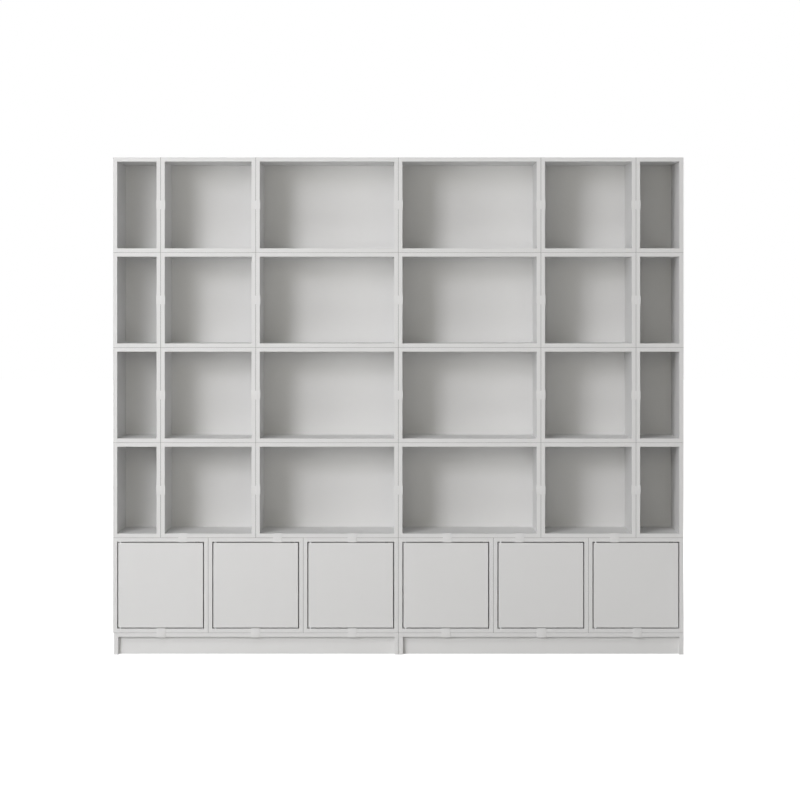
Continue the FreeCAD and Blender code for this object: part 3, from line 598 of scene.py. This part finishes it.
def furthest(faces, way):
    """The face that lies furthest along a way."""
    return max(faces, key=lambda face: face.calc_center_median().dot(way))


def drawn_out(work, faces, move):
    """Faces of a closed shape moved off, with walls behind them; gives the moved vertices."""
    made = bmesh.ops.extrude_face_region(work, geom=faces)
    bmesh.ops.delete(work, geom=faces, context="FACES")
    verts = new_verts(made)
    bmesh.ops.translate(work, vec=move, verts=verts)
    return verts


def facing(direction):
    """A turn that brings Z to a direction."""
    return direction.to_track_quat("Z", "Y").to_matrix().to_4x4()


def turned(profile, sides, ring=False):
    """A solid turned about Z from pairs of radius and height; a ring's profile is closed."""
    work = bmesh.new()
    verts = [work.verts.new((radius, 0.0, height)) for radius, height in profile]
    pairs = list(zip(verts, verts[1:]))
    if ring:
        pairs.append((verts[-1], verts[0]))
    edges = [work.edges.new(pair) for pair in pairs]
    bmesh.ops.spin(work, geom=verts + edges, cent=(0, 0, 0), axis=UP, dvec=(0, 0, 0),
                   angle=math.tau, steps=sides, use_merge=True)
    bmesh.ops.holes_fill(work, edges=work.edges, sides=0)
    return work


def sink_hole(work, face, centre, steps, sides, exit_face=None):
    """A stepped round hole from a flat face, with steps as pairs of radius and depth.

    It ends in a flat bottom, which is given back, or comes out through the exit face.
    """
    inwards = -face.normal
    rim = list(face.edges)
    bmesh.ops.delete(work, geom=[face], context="FACES_ONLY")
    radius, depth = steps[0]
    made = bmesh.ops.create_circle(work, cap_ends=False, segments=sides, radius=radius,
                                   matrix=Matrix.Translation(centre) @ facing(inwards))
    ring = edges_among(made["verts"])
    bmesh.ops.triangle_fill(work, use_beauty=True, use_dissolve=False, edges=rim + ring)
    for next_radius, next_depth in steps[1:]:
        verts = new_verts(bmesh.ops.extrude_edge_only(work, edges=ring))
        middle = centre + inwards * depth
        bmesh.ops.scale(work, vec=Vector((1, 1, 1)) * (next_radius / radius),
                        space=Matrix.Translation(-middle), verts=verts)
        bmesh.ops.translate(work, vec=inwards * (next_depth - depth), verts=verts)
        ring = edges_among(verts)
        radius, depth = next_radius, next_depth
    if exit_face is None:
        return bmesh.ops.edgeloop_fill(work, edges=ring)["faces"][0]
    rim = list(exit_face.edges)
    bmesh.ops.delete(work, geom=[exit_face], context="FACES_ONLY")
    bmesh.ops.triangle_fill(work, use_beauty=True, use_dissolve=False, edges=rim + ring)
    return None


def sink_cross(work, face, inwards, span, depth):
    """A cross recess for a screwdriver in a flat round face; it narrows to its bottom."""
    arm_reach = 0.4 * span
    bottom_share = 0.6
    centre = face.calc_center_median()
    rim = list(face.edges)
    bmesh.ops.delete(work, geom=[face], context="FACES_ONLY")
    made = bmesh.ops.create_grid(work, x_segments=3, y_segments=3, size=span / 2,
                                 matrix=Matrix.Translation(centre) @ facing(inwards))
    cells = list(dict.fromkeys(cell for vert in made["verts"] for cell in vert.link_faces))
    cross = [cell for cell in cells if (cell.calc_center_median() - centre).length < arm_reach]
    corners = [cell for cell in cells if cell not in cross]
    bmesh.ops.delete(work, geom=corners, context="FACES")
    cross_verts = list(dict.fromkeys(vert for cell in cross for vert in cell.verts))
    outline = [edge for edge in edges_among(cross_verts) if edge.is_boundary]
    bmesh.ops.triangle_fill(work, use_beauty=True, use_dissolve=False, edges=rim + outline)
    verts = drawn_out(work, cross, inwards * depth)
    bmesh.ops.scale(work, vec=Vector((1, 1, 1)) * bottom_share, verts=verts,
                    space=Matrix.Translation(-centre - inwards * depth))


def stood(low, high, upright):
    """The place in a box of a piece made about Z, upright or upside down."""
    middle = (low + high) / 2
    foot = Vector((middle.x, middle.y, low.z if upright else high.z))
    turn = AS_DRAWN if upright else Matrix.Rotation(math.pi, 4, "X")
    return Matrix.Translation(foot) @ turn


def mesh_of(name, work):
    """The mesh of a shape, which is freed."""
    mesh = bpy.data.meshes.new(name)
    work.to_mesh(mesh)
    work.free()
    return mesh


def in_scene(name, data):
    """An object in the scene, for a mesh, lamp or camera."""
    made = bpy.data.objects.new(name, data)
    bpy.context.scene.collection.objects.link(made)
    return made


def gathered(parts):
    """One shape from pairs of a part's shape and its place."""
    work = bmesh.new()
    for part, place in parts:
        part.transform(place)
        bmesh.ops.recalc_face_normals(part, faces=part.faces)
        mesh = mesh_of("part", part)
        work.from_mesh(mesh)
        bpy.data.meshes.remove(mesh)
    return work


def finished(name, work, finishes, body, slot, node):
    """The object of a shape: it stands for a CAD node and rides on a body."""
    mesh = mesh_of(name, work)
    mesh.shade_smooth()
    mesh.set_sharp_from_angle(angle=SHARP_ANGLE)
    for finish in finishes:
        mesh.materials.append(finish)
    piece = in_scene(name, mesh)
    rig.ride(piece, body)
    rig.slot(piece, slot)
    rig.replaces(piece, node)


def in_steel(scene, name, parts, node, body=CARCASS):
    """A finished piece of zinc plated steel."""
    finished(name, gathered(parts), [steel_for(scene)], body, "zinc_plated_steel", node)


def wear(node, finish):
    """Gives a CAD node its finish."""
    materials = frame["nodes"][node].data.materials
    materials.clear()
    materials.append(finish)


def paint_for(scene, name="plain_board_paint", seams=()):
    return shared(name, sprayed_paint, scene.shelving_paint, seams)


def steel_for(scene):
    look = scene.shelving_fittings
    return shared("bright_zinc", plated_steel, look.zinc, look.zinc_roughness)


def latch_plastic_for(scene, name, colour):
    look = scene.shelving_fittings
    return shared(name, moulded_plastic, colour, look.latch_roughness, look.latch_grain)


def starts(nodes, axis):
    """Where nodes start along an axis, each place once."""
    return sorted({round(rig.box(node)[0][axis], DIGITS) for node in nodes})


# Boards


class SHELVING_OT_modules(Operator):
    """Paint the open modules and the cupboard modules, with painted shade in the seams between them"""

    bl_idname = "shelving.modules"
    bl_label = "Paint modules"

    def execute(self, context):
        look = context.scene.shelving_paint
        # Painted shade along the seams between stacked modules and between modules side by side
        level_seam_shades = ("Z", starts(OPEN_MODULES + CUPBOARD_MODULES, 2), look.level_seam)
        for kind, nodes in (("open", OPEN_MODULES), ("cupboard", CUPBOARD_MODULES)):
            seams = (("X", starts(nodes, 0)[1:], look.upright_seam), level_seam_shades)
            for node in nodes:
                wear(node, paint_for(context.scene, f"{kind}_module_paint", seams))
        return {"FINISHED"}


class SHELVING_OT_doors(Operator):
    """Paint the doors"""

    bl_idname = "shelving.doors"
    bl_label = "Paint doors"

    def execute(self, context):
        for number in CUPBOARDS:
            wear(f"door_{number}", paint_for(context.scene))
        return {"FINISHED"}


class SHELVING_OT_loose_shelves(Operator):
    """Paint the loose shelves behind the doors"""

    bl_idname = "shelving.loose_shelves"
    bl_label = "Paint loose shelves"

    def execute(self, context):
        wear("inner_shelves", paint_for(context.scene))
        return {"FINISHED"}


class SHELVING_OT_plinths(Operator):
    """Paint the plinths, with painted shade in their seams"""

    bl_idname = "shelving.plinths"
    bl_label = "Paint plinths"

    def execute(self, context):
        look = context.scene.shelving_paint
        # Painted shade along the seam between the two plinths and where the cupboards stand on them
        upright_seam = ("X", [MIDDLE.x], look.upright_seam)
        level_seam = ("Z", starts(CUPBOARD_MODULES, 2), look.level_seam)
        for node in PLINTHS:
            wear(node, paint_for(context.scene, "plinth_paint", (upright_seam, level_seam)))
        return {"FINISHED"}


# Clips


def clip_shape(width, depth, length, sizes):
    """A channel with its face at Y 0: a face plate, and two legs drawn out of its rear."""
    half_width = width / 2
    half_length = length / 2
    inner = half_width - sizes.leg
    work = block(Vector((-half_width, 0.0, -half_length)),
                 Vector((half_width, sizes.face, half_length)))
    for side in (-inner, inner):
        cut_across(work, (side, 0, 0), (1, 0, 0))
    work.normal_update()
    legs = [face for face in work.faces
            if face.normal.y > SQUARE_ON and abs(face.calc_center_median().x) > inner]
    drawn_out(work, legs, BACK * (depth - sizes.face))
    insides = (-inner, inner)
    outsides = (-half_width, half_width)
    rounded(work, edges_at(work, x=insides, y=(sizes.face,)), sizes.root, segments=3)
    rounded(work, edges_at(work, x=insides, y=(depth,)), sizes.lead_in, segments=1)
    rounded(work, edges_at(work, x=outsides, y=(depth,)), sizes.tip, segments=2)
    outline = (edges_at(work, x=outsides, y=(0,))
               + edges_at(work, y=(0,), z=(-half_length, half_length)))
    rounded(work, outline, sizes.edge, segments=4)
    return work


class SHELVING_OT_clips(Operator):
    """Mould the clips that grip the boards' front edges in pairs"""

    bl_idname = "shelving.clips"
    bl_label = "Mould clips"

    def execute(self, context):
        look = context.scene.shelving_fittings
        nylon = shared("clip_nylon", moulded_plastic, context.scene.shelving_paint.colour,
                       look.clip_roughness, look.clip_grain, look.clip_gloss)
        for node in CLIPS:
            parts = [self.placed(box, context.scene.shelving_clips) for box in solids_of(node)]
            finished(f"moulded_{node}", gathered(parts), [nylon], CARCASS, "clip_plastic", node)
        return {"FINISHED"}

    def placed(self, box, sizes):
        """A clip's shape and place; the clips of a level seam lie on their side."""
        low, high = box
        across, depth, up = high - low
        place = Matrix.Translation(((low.x + high.x) / 2, low.y, (low.z + high.z) / 2))
        if up > across:
            place = place @ Matrix.Rotation(math.pi / 2, 4, "Y")
        return clip_shape(max(across, up), depth, min(across, up), sizes), place


# Pivots and pins


def stepped_pin(length, plug, collar, radius, collar_radius, sizes):
    """A pin about Z: plug, collar and free end, with chamfered rims."""
    chamfer = sizes.chamfer
    rim = chamfer / 2
    top = plug + collar
    return turned((
        (radius - chamfer, 0), (radius, chamfer), (radius, plug),
        (collar_radius - rim, plug), (collar_radius, plug + rim),
        (collar_radius, top - rim), (collar_radius - rim, top),
        (radius, top), (radius, length - chamfer), (radius - chamfer, length),
    ), sizes.sides)


class SHELVING_OT_pivot_pins(Operator):
    """Turn the pivot pins that carry the doors"""

    bl_idname = "shelving.pivot_pins"
    bl_label = "Turn pivot pins"

    def execute(self, context):
        sizes = context.scene.shelving_pins
        half_way_up = sum(corner.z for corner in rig.box(CUPBOARD_MODULES[0])) / 2
        parts = []
        for low, high in solids_of("pivot_pins"):
            pin = stepped_pin(high.z - low.z, sizes.pivot_plug, sizes.pivot_collar,
                              sizes.pivot_radius, (high.x - low.x) / 2, sizes)
            parts.append((pin, stood(low, high, upright=high.z < half_way_up)))
        in_steel(context.scene, "turned_pivot_pins", parts, "pivot_pins")
        return {"FINISHED"}


class SHELVING_OT_door_fittings(Operator):
    """Turn the doors' bushes and punch their strike plates"""

    bl_idname = "shelving.door_fittings"
    bl_label = "Make door fittings"

    def execute(self, context):
        for number in CUPBOARDS:
            node = f"door_fittings_{number}"
            parts = []
            for low, high in solids_of(node):
                flat = high.y - low.y < (high.x - low.x) / 2
                make = self.strike if flat else self.bush
                parts.append(make(low, high, context.scene))
            in_steel(context.scene, f"bushes_and_strike_{number}", parts, node,
                     f"door_leaf_{number}")
        return {"FINISHED"}

    def bush(self, low, high, scene):
        """A bush: a plain ring with chamfered rims."""
        sizes = scene.shelving_pins
        bore = sizes.bush_bore
        outer = (high.x - low.x) / 2
        length = high.z - low.z
        chamfer = sizes.chamfer / 2
        shape = turned((
            (bore, chamfer), (bore + chamfer, 0), (outer - chamfer, 0), (outer, chamfer),
            (outer, length - chamfer), (outer - chamfer, length), (bore + chamfer, length),
            (bore, length - chamfer),
        ), sizes.sides, ring=True)
        return shape, stood(low, high, upright=True)

    def strike(self, low, high, scene):
        """A strike plate held by a countersunk screw, which the plunger's magnet meets."""
        sizes = scene.shelving_latches
        shape = block(low, high)
        rounded(shape, edges_at(shape, x=(low.x, high.x), z=(low.z, high.z)),
                sizes.strike_corner, segments=4)
        shape.normal_update()
        centre = (low + high) / 2
        centre.y = high.y
        head = sink_hole(shape, furthest(shape.faces, BACK), centre, (
            (sizes.strike_dish, 0),
            (sizes.strike_screw + sizes.strike_sink, sizes.strike_groove),
            (sizes.strike_screw, sizes.strike_sink),
        ), scene.shelving_pins.sides)
        sink_cross(shape, head, -BACK, sizes.strike_screw, sizes.strike_recess)
        return shape, AS_DRAWN


class SHELVING_OT_shelf_pins(Operator):
    """Turn the pins under the loose shelves"""

    bl_idname = "shelving.shelf_pins"
    bl_label = "Turn shelf pins"

    def execute(self, context):
        sizes = context.scene.shelving_pins
        middles = [(low.x + high.x) / 2 for low, high in map(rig.box, CUPBOARD_MODULES)]
        parts = []
        for low, high in solids_of("shelf_pins"):
            centre = (low + high) / 2
            pin = stepped_pin(high.x - low.x, sizes.peg_plug, sizes.peg_flange,
                              sizes.peg_radius, (high.z - low.z) / 2, sizes)
            rightwards = centre.x < min(middles, key=lambda middle: abs(middle - centre.x))
            foot = Vector((low.x if rightwards else high.x, centre.y, centre.z))
            quarter = math.pi / 2 if rightwards else -math.pi / 2
            parts.append((pin, Matrix.Translation(foot) @ Matrix.Rotation(quarter, 4, "Y")))
        in_steel(context.scene, "turned_shelf_pins", parts, "shelf_pins")
        return {"FINISHED"}


# Latches


class SHELVING_OT_latches(Operator):
    """Mould the push latches under the cupboards' roofs"""

    bl_idname = "shelving.latches"
    bl_label = "Mould latches"

    def execute(self, context):
        scene = context.scene
        plastic = latch_plastic_for(scene, "latch_moulding", scene.shelving_fittings.latch)
        screws = solids_of("wood_screws")
        parts = []
        for box in solids_of("latch_bodies"):
            centre = (box[0] + box[1]) / 2
            screw = min(screws, key=lambda other: ((other[0] + other[1]) / 2 - centre).length)
            parts.append((self.housing(box, screw, scene), AS_DRAWN))
        finished("moulded_latch_bodies", gathered(parts), [plastic], CARCASS, "latch_plastic",
                 "latch_bodies")
        return {"FINISHED"}

    def housing(self, box, screw, scene):
        """A latch body, bored for its plunger from the front and for its screw from below."""
        low, high = box
        sizes = scene.shelving_latches
        sides = scene.shelving_pins.sides
        ease = sizes.ease
        shape = block(low, high)
        rear_part = low.y + sizes.bore_depth
        cut_across(shape, (0, rear_part, 0), BACK)
        rounded(shape, edges_at(shape, x=(low.x, high.x), z=(low.z,)), sizes.corner, segments=4)
        rounded(shape, edges_at(shape, y=(low.y,)), ease, segments=2)
        shape.normal_update()
        axis = Vector(((low.x + high.x) / 2, low.y, low.z + (high.x - low.x) / 2))
        sink_hole(shape, furthest(shape.faces, -BACK), axis, (
            (sizes.lip_radius, 0), (sizes.lip_radius, sizes.lip_depth),
            (sizes.bore_radius + ease, sizes.lip_depth),
            (sizes.bore_radius, sizes.lip_depth + ease),
            (sizes.bore_radius, sizes.bore_depth),
        ), sides)
        shape.normal_update()
        behind = [face for face in shape.faces if abs(face.normal.z) > SQUARE_ON
                  and face.calc_center_median().y > rear_part]
        seat = screw[0].z + scene.shelving_screws.head_height - low.z
        centre = (screw[0] + screw[1]) / 2
        centre.z = low.z
        head = scene.shelving_screws.head + WELD
        shank = scene.shelving_screws.shank + WELD
        sink_hole(shape, furthest(behind, -UP), centre, (
            (head + ease, 0), (head, ease), (head, seat), (shank, seat),
            (shank, high.z - low.z),
        ), sides, exit_face=furthest(behind, UP))
        return shape


class SHELVING_OT_plungers(Operator):
    """Turn the latch plungers with their magnets"""

    bl_idname = "shelving.plungers"
    bl_label = "Turn plungers"

    def execute(self, context):
        scene = context.scene
        plastic = latch_plastic_for(scene, "plunger_moulding", scene.shelving_fittings.plunger)
        for number in CUPBOARDS:
            node = f"latch_plunger_{number}"
            low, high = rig.box(node)
            shape = self.rod(high.y - low.y, (high.x - low.x) / 2, scene)
            tip = Vector(((low.x + high.x) / 2, low.y, (low.z + high.z) / 2))
            place = Matrix.Translation(tip) @ Matrix.Rotation(-math.pi / 2, 4, "X")
            finished(f"magnet_plunger_{number}", gathered([(shape, place)]),
                     [plastic, steel_for(scene)], f"plunger_{number}", "latch_plastic", node)
        return {"FINISHED"}

    def rod(self, length, radius, scene):
        """A rod about Z with a magnet in the tip at 0, behind a narrow groove."""
        sizes = scene.shelving_latches
        magnet, gap, edge = sizes.magnet_radius, sizes.magnet_gap, sizes.tip_edge
        magnet_edge = gap / 3
        round_of_edge = 0.3 * edge
        chamfer = scene.shelving_pins.chamfer
        shape = turned((
            (magnet - magnet_edge, 0), (magnet, magnet_edge), (magnet, gap),
            (magnet + gap, gap), (magnet + gap, 0), (radius - edge, 0),
            (radius - round_of_edge, round_of_edge), (radius, edge),
            (radius, length - chamfer), (radius - chamfer, length),
        ), scene.shelving_pins.sides)
        for face in shape.faces:
            centre = face.calc_center_median()
            if centre.z < gap and centre.xy.length < magnet:
                face.material_index = 1
        return shape


# Wall brackets and screws


class SHELVING_OT_brackets(Operator):
    """Bend the wall brackets"""

    bl_idname = "shelving.brackets"
    bl_label = "Bend wall brackets"

    def execute(self, context):
        parts = [(self.angle(low, high, context.scene), AS_DRAWN)
                 for low, high in solids_of("wall_brackets")]
        in_steel(context.scene, "bent_wall_brackets", parts, "wall_brackets")
        return {"FINISHED"}

    def angle(self, low, high, scene):
        """An angle of sheet steel: a foot, a bend, and a leg with the wall screw's hole."""
        sizes = scene.shelving_brackets
        sheet = sizes.sheet
        ease = sizes.ease
        leg_front = high.y - sheet
        foot_top = low.z + sheet
        shape = bmesh.new()
        section = ((low.y, low.z), (high.y, low.z), (high.y, high.z), (leg_front, high.z),
                   (leg_front, foot_top), (low.y, foot_top))
        face = shape.faces.new([shape.verts.new((low.x, along, up)) for along, up in section])
        made = bmesh.ops.extrude_face_region(shape, geom=[face])
        bmesh.ops.translate(shape, vec=(high.x - low.x, 0, 0), verts=new_verts(made))
        bmesh.ops.recalc_face_normals(shape, faces=shape.faces)
        for along, up, radius in ((high.y, low.z, sizes.bend + sheet),
                                  (leg_front, foot_top, sizes.bend)):
            rounded(shape, edges_at(shape, y=(along,), z=(up,)), radius, segments=8)
        ends = (low.x, high.x)
        free_corners = (edges_at(shape, x=ends, y=(low.y,))
                        + edges_at(shape, x=ends, z=(high.z,)))
        rounded(shape, free_corners, sizes.corner, segments=6)
        shape.normal_update()
        middle = (low.x + high.x) / 2
        wall_centre = Vector((middle, leg_front, low.z + sizes.wall_hole_height))
        foot_centre = Vector((middle, high.y - sizes.foot_hole_back, foot_top))
        for outwards, centre, radius in ((-BACK, wall_centre, sizes.wall_hole),
                                         (UP, foot_centre, sizes.foot_hole)):
            entry = self.flat(shape, outwards, centre)
            way_out = self.flat(shape, -outwards, centre - outwards * sheet)
            sink_hole(shape, entry, centre, (
                (radius + ease, 0), (radius, ease), (radius, sheet - ease),
                (radius + ease, sheet),
            ), scene.shelving_pins.sides, exit_face=way_out)
        return shape

    def flat(self, shape, way, centre):
        """The largest face that looks along a way and lies level with a place."""
        faces = [face for face in shape.faces if face.normal.dot(way) > SQUARE_ON
                 and near(face.calc_center_median().dot(way), centre.dot(way))]
        return max(faces, key=lambda face: face.calc_area())


class SHELVING_OT_screws(Operator):
    """Turn the pan-head screws of the brackets and latches"""

    bl_idname = "shelving.screws"
    bl_label = "Turn screws"

    def execute(self, context):
        scene = context.scene
        roof = max(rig.box(node)[1].z for node in OPEN_MODULES)
        parts = [(self.pan_screw(high.z - low.z, scene),
                  stood(low, high, upright=high.z > roof))
                 for low, high in solids_of("wood_screws")]
        in_steel(scene, "pan_head_screws", parts, "wood_screws")
        return {"FINISHED"}

    def pan_screw(self, length, scene):
        """A screw about Z with its point at 0 and a domed head with a cross recess."""
        sizes = scene.shelving_screws
        seat = length - sizes.head_height
        rim = seat + sizes.head_rim
        dome = length - rim
        crown_angle = math.radians(52)
        arc_steps = 6
        angles = [crown_angle * step / arc_steps for step in range(arc_steps + 1)]
        dome_arc = [(sizes.head * math.cos(angle),
                     rim + dome * math.sin(angle) / math.sin(crown_angle)) for angle in angles]
        shape = turned(((sizes.point_radius, 0), (sizes.shank, sizes.point),
                        (sizes.shank, seat), (sizes.head, seat), *dome_arc),
                       scene.shelving_pins.sides)
        sink_cross(shape, furthest(shape.faces, UP), -UP, sizes.recess, sizes.recess_depth)
        return shape


# Stage


def shown_white(finish):
    """1 for rays that see the white background, and 0 for those that light the unit."""
    path = "ShaderNodeLightPath"
    seen = finish.node(path, output="Is Camera Ray") + finish.node(path, output="Is Glossy Ray")
    return finish.clamped(seen + finish.node(path, output="Is Transmission Ray"))


class SHELVING_OT_stage(Operator):
    """Set the floor, the white room, the lights and the camera"""

    bl_idname = "shelving.stage"
    bl_label = "Set stage"

    def execute(self, context):
        scene = context.scene
        self.floor(scene)
        self.room(scene)
        self.lights(scene)
        self.camera(scene)
        scene.view_settings.view_transform = "Standard"
        return {"FINISHED"}

    def floor(self, scene):
        """A pale floor that shows white, but for the unit's faint shadow."""
        lights = scene.shelving_lights
        shape = bmesh.new()
        bmesh.ops.create_grid(shape, x_segments=1, y_segments=1, size=lights.floor_reach)
        floor = in_scene("studio_floor", mesh_of("studio_floor", shape))
        finish = Finish(bpy.data.materials.new("pale_floor"))
        grey = (lights.floor_tone, lights.floor_tone, lights.floor_tone, 1.0)
        matt = finish.node("ShaderNodeBsdfDiffuse", {"Color": grey})
        beyond = finish.reach(finish.place()) - lights.floor_near
        shade = (1 - finish.clamped(beyond / lights.floor_fade)) * lights.floor_shade
        white = shown_white(finish) * (1 - shade)
        glow = finish.node("ShaderNodeEmission", {"Strength": white})
        both = finish.node("ShaderNodeAddShader", {0: matt, 1: glow})
        finish.node("ShaderNodeOutputMaterial", {"Surface": both})
        floor.data.materials.append(finish.owner)
        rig.stage(floor)

    def room(self, scene):
        """A white room, which lights the unit less than it shows."""
        scene.world = bpy.data.worlds.new("white_room")
        room = Finish(scene.world)
        white = (*WHITE, 1.0)
        shown = room.node("ShaderNodeBackground", {"Color": white, "Strength": 1.0})
        lit = room.node("ShaderNodeBackground",
                        {"Color": white, "Strength": scene.shelving_lights.ambient})
        both = room.node("ShaderNodeMixShader", {0: shown_white(room), 1: lit, 2: shown})
        room.node("ShaderNodeOutputWorld", {"Surface": both})

    def lights(self, scene):
        """The soft boxes, each turned to the unit's middle."""
        lights = scene.shelving_lights
        for name, colour in (("key", WHITE), ("wing", WHITE), ("window", lights.window_colour),
                             ("overhead", WHITE), ("fill", lights.fill_colour),
                             ("rear", WHITE)):
            lamp = bpy.data.lights.new(f"{name}_soft_box", "AREA")
            lamp.shape = "RECTANGLE"
            lamp.size, lamp.size_y = getattr(lights, f"{name}_size")
            lamp.energy = getattr(lights, f"{name}_power")
            lamp.color = colour
            place = Vector(getattr(lights, f"{name}_place"))
            soft_box = in_scene(lamp.name, lamp)
            soft_box.location = place
            soft_box.rotation_euler = (MIDDLE - place).to_track_quat("-Z", "Y").to_euler()

    def camera(self, scene):
        """The photo's view: level, square to the fronts, with the horizon above the middle."""
        view = scene.shelving_view
        lens = bpy.data.cameras.new("photo_camera")
        lens.lens = lens.sensor_width * view.distance / view.width
        lens.shift_y = -view.horizon
        scene.camera = in_scene("photo_camera", lens)
        scene.camera.location = (view.across, FRONT - view.distance, view.height)
        scene.camera.rotation_euler = (math.pi / 2, 0.0, 0.0)


STEPS = (
    SHELVING_OT_stage,
    SHELVING_OT_modules,
    SHELVING_OT_doors,
    SHELVING_OT_loose_shelves,
    SHELVING_OT_plinths,
    SHELVING_OT_clips,
    SHELVING_OT_pivot_pins,
    SHELVING_OT_door_fittings,
    SHELVING_OT_shelf_pins,
    SHELVING_OT_latches,
    SHELVING_OT_plungers,
    SHELVING_OT_brackets,
    SHELVING_OT_screws,
)
SETTINGS = {
    "shelving_paint": PaintLook,
    "shelving_fittings": FittingLook,
    "shelving_clips": ClipSizes,
    "shelving_pins": PinSizes,
    "shelving_latches": LatchSizes,
    "shelving_brackets": BracketSizes,
    "shelving_screws": ScrewSizes,
    "shelving_view": PhotoView,
    "shelving_lights": StageLights,
}


class SHELVING_PT_panel(Panel):
    """Lists the steps in their order, and the sizes and colours"""

    bl_idname = "SHELVING_PT_panel"
    bl_label = "Shelving unit"
    bl_space_type = "VIEW_3D"
    bl_region_type = "UI"
    bl_category = "Shelving"

    def draw(self, context):
        for step in STEPS:
            self.layout.operator(step.bl_idname)
        for name, kind in SETTINGS.items():
            group = self.layout.box()
            group.label(text=kind.__doc__)
            for field in kind.__annotations__:
                group.prop(getattr(context.scene, name), field)


def register():
    for kind in (*SETTINGS.values(), *STEPS, SHELVING_PT_panel):
        bpy.utils.register_class(kind)
    for name, kind in SETTINGS.items():
        setattr(bpy.types.Scene, name, PointerProperty(type=kind))


def unregister():
    for name in SETTINGS:
        delattr(bpy.types.Scene, name)
    for kind in (SHELVING_PT_panel, *reversed(STEPS), *SETTINGS.values()):
        bpy.utils.unregister_class(kind)


def main():
    register()
    bpy.ops.shelving.stage()
    bpy.ops.shelving.modules()
    bpy.ops.shelving.doors()
    bpy.ops.shelving.loose_shelves()
    bpy.ops.shelving.plinths()
    bpy.ops.shelving.clips()
    bpy.ops.shelving.pivot_pins()
    bpy.ops.shelving.door_fittings()
    bpy.ops.shelving.shelf_pins()
    bpy.ops.shelving.latches()
    bpy.ops.shelving.plungers()
    bpy.ops.shelving.brackets()
    bpy.ops.shelving.screws()
    visual_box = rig.bounds()
    with open("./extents.json", "w") as out:
        json.dump({"cad": [list(corner) for corner in cad_box],
                   "visual": [list(corner) for corner in visual_box]}, out)


if __name__ == "__main__":
    main()
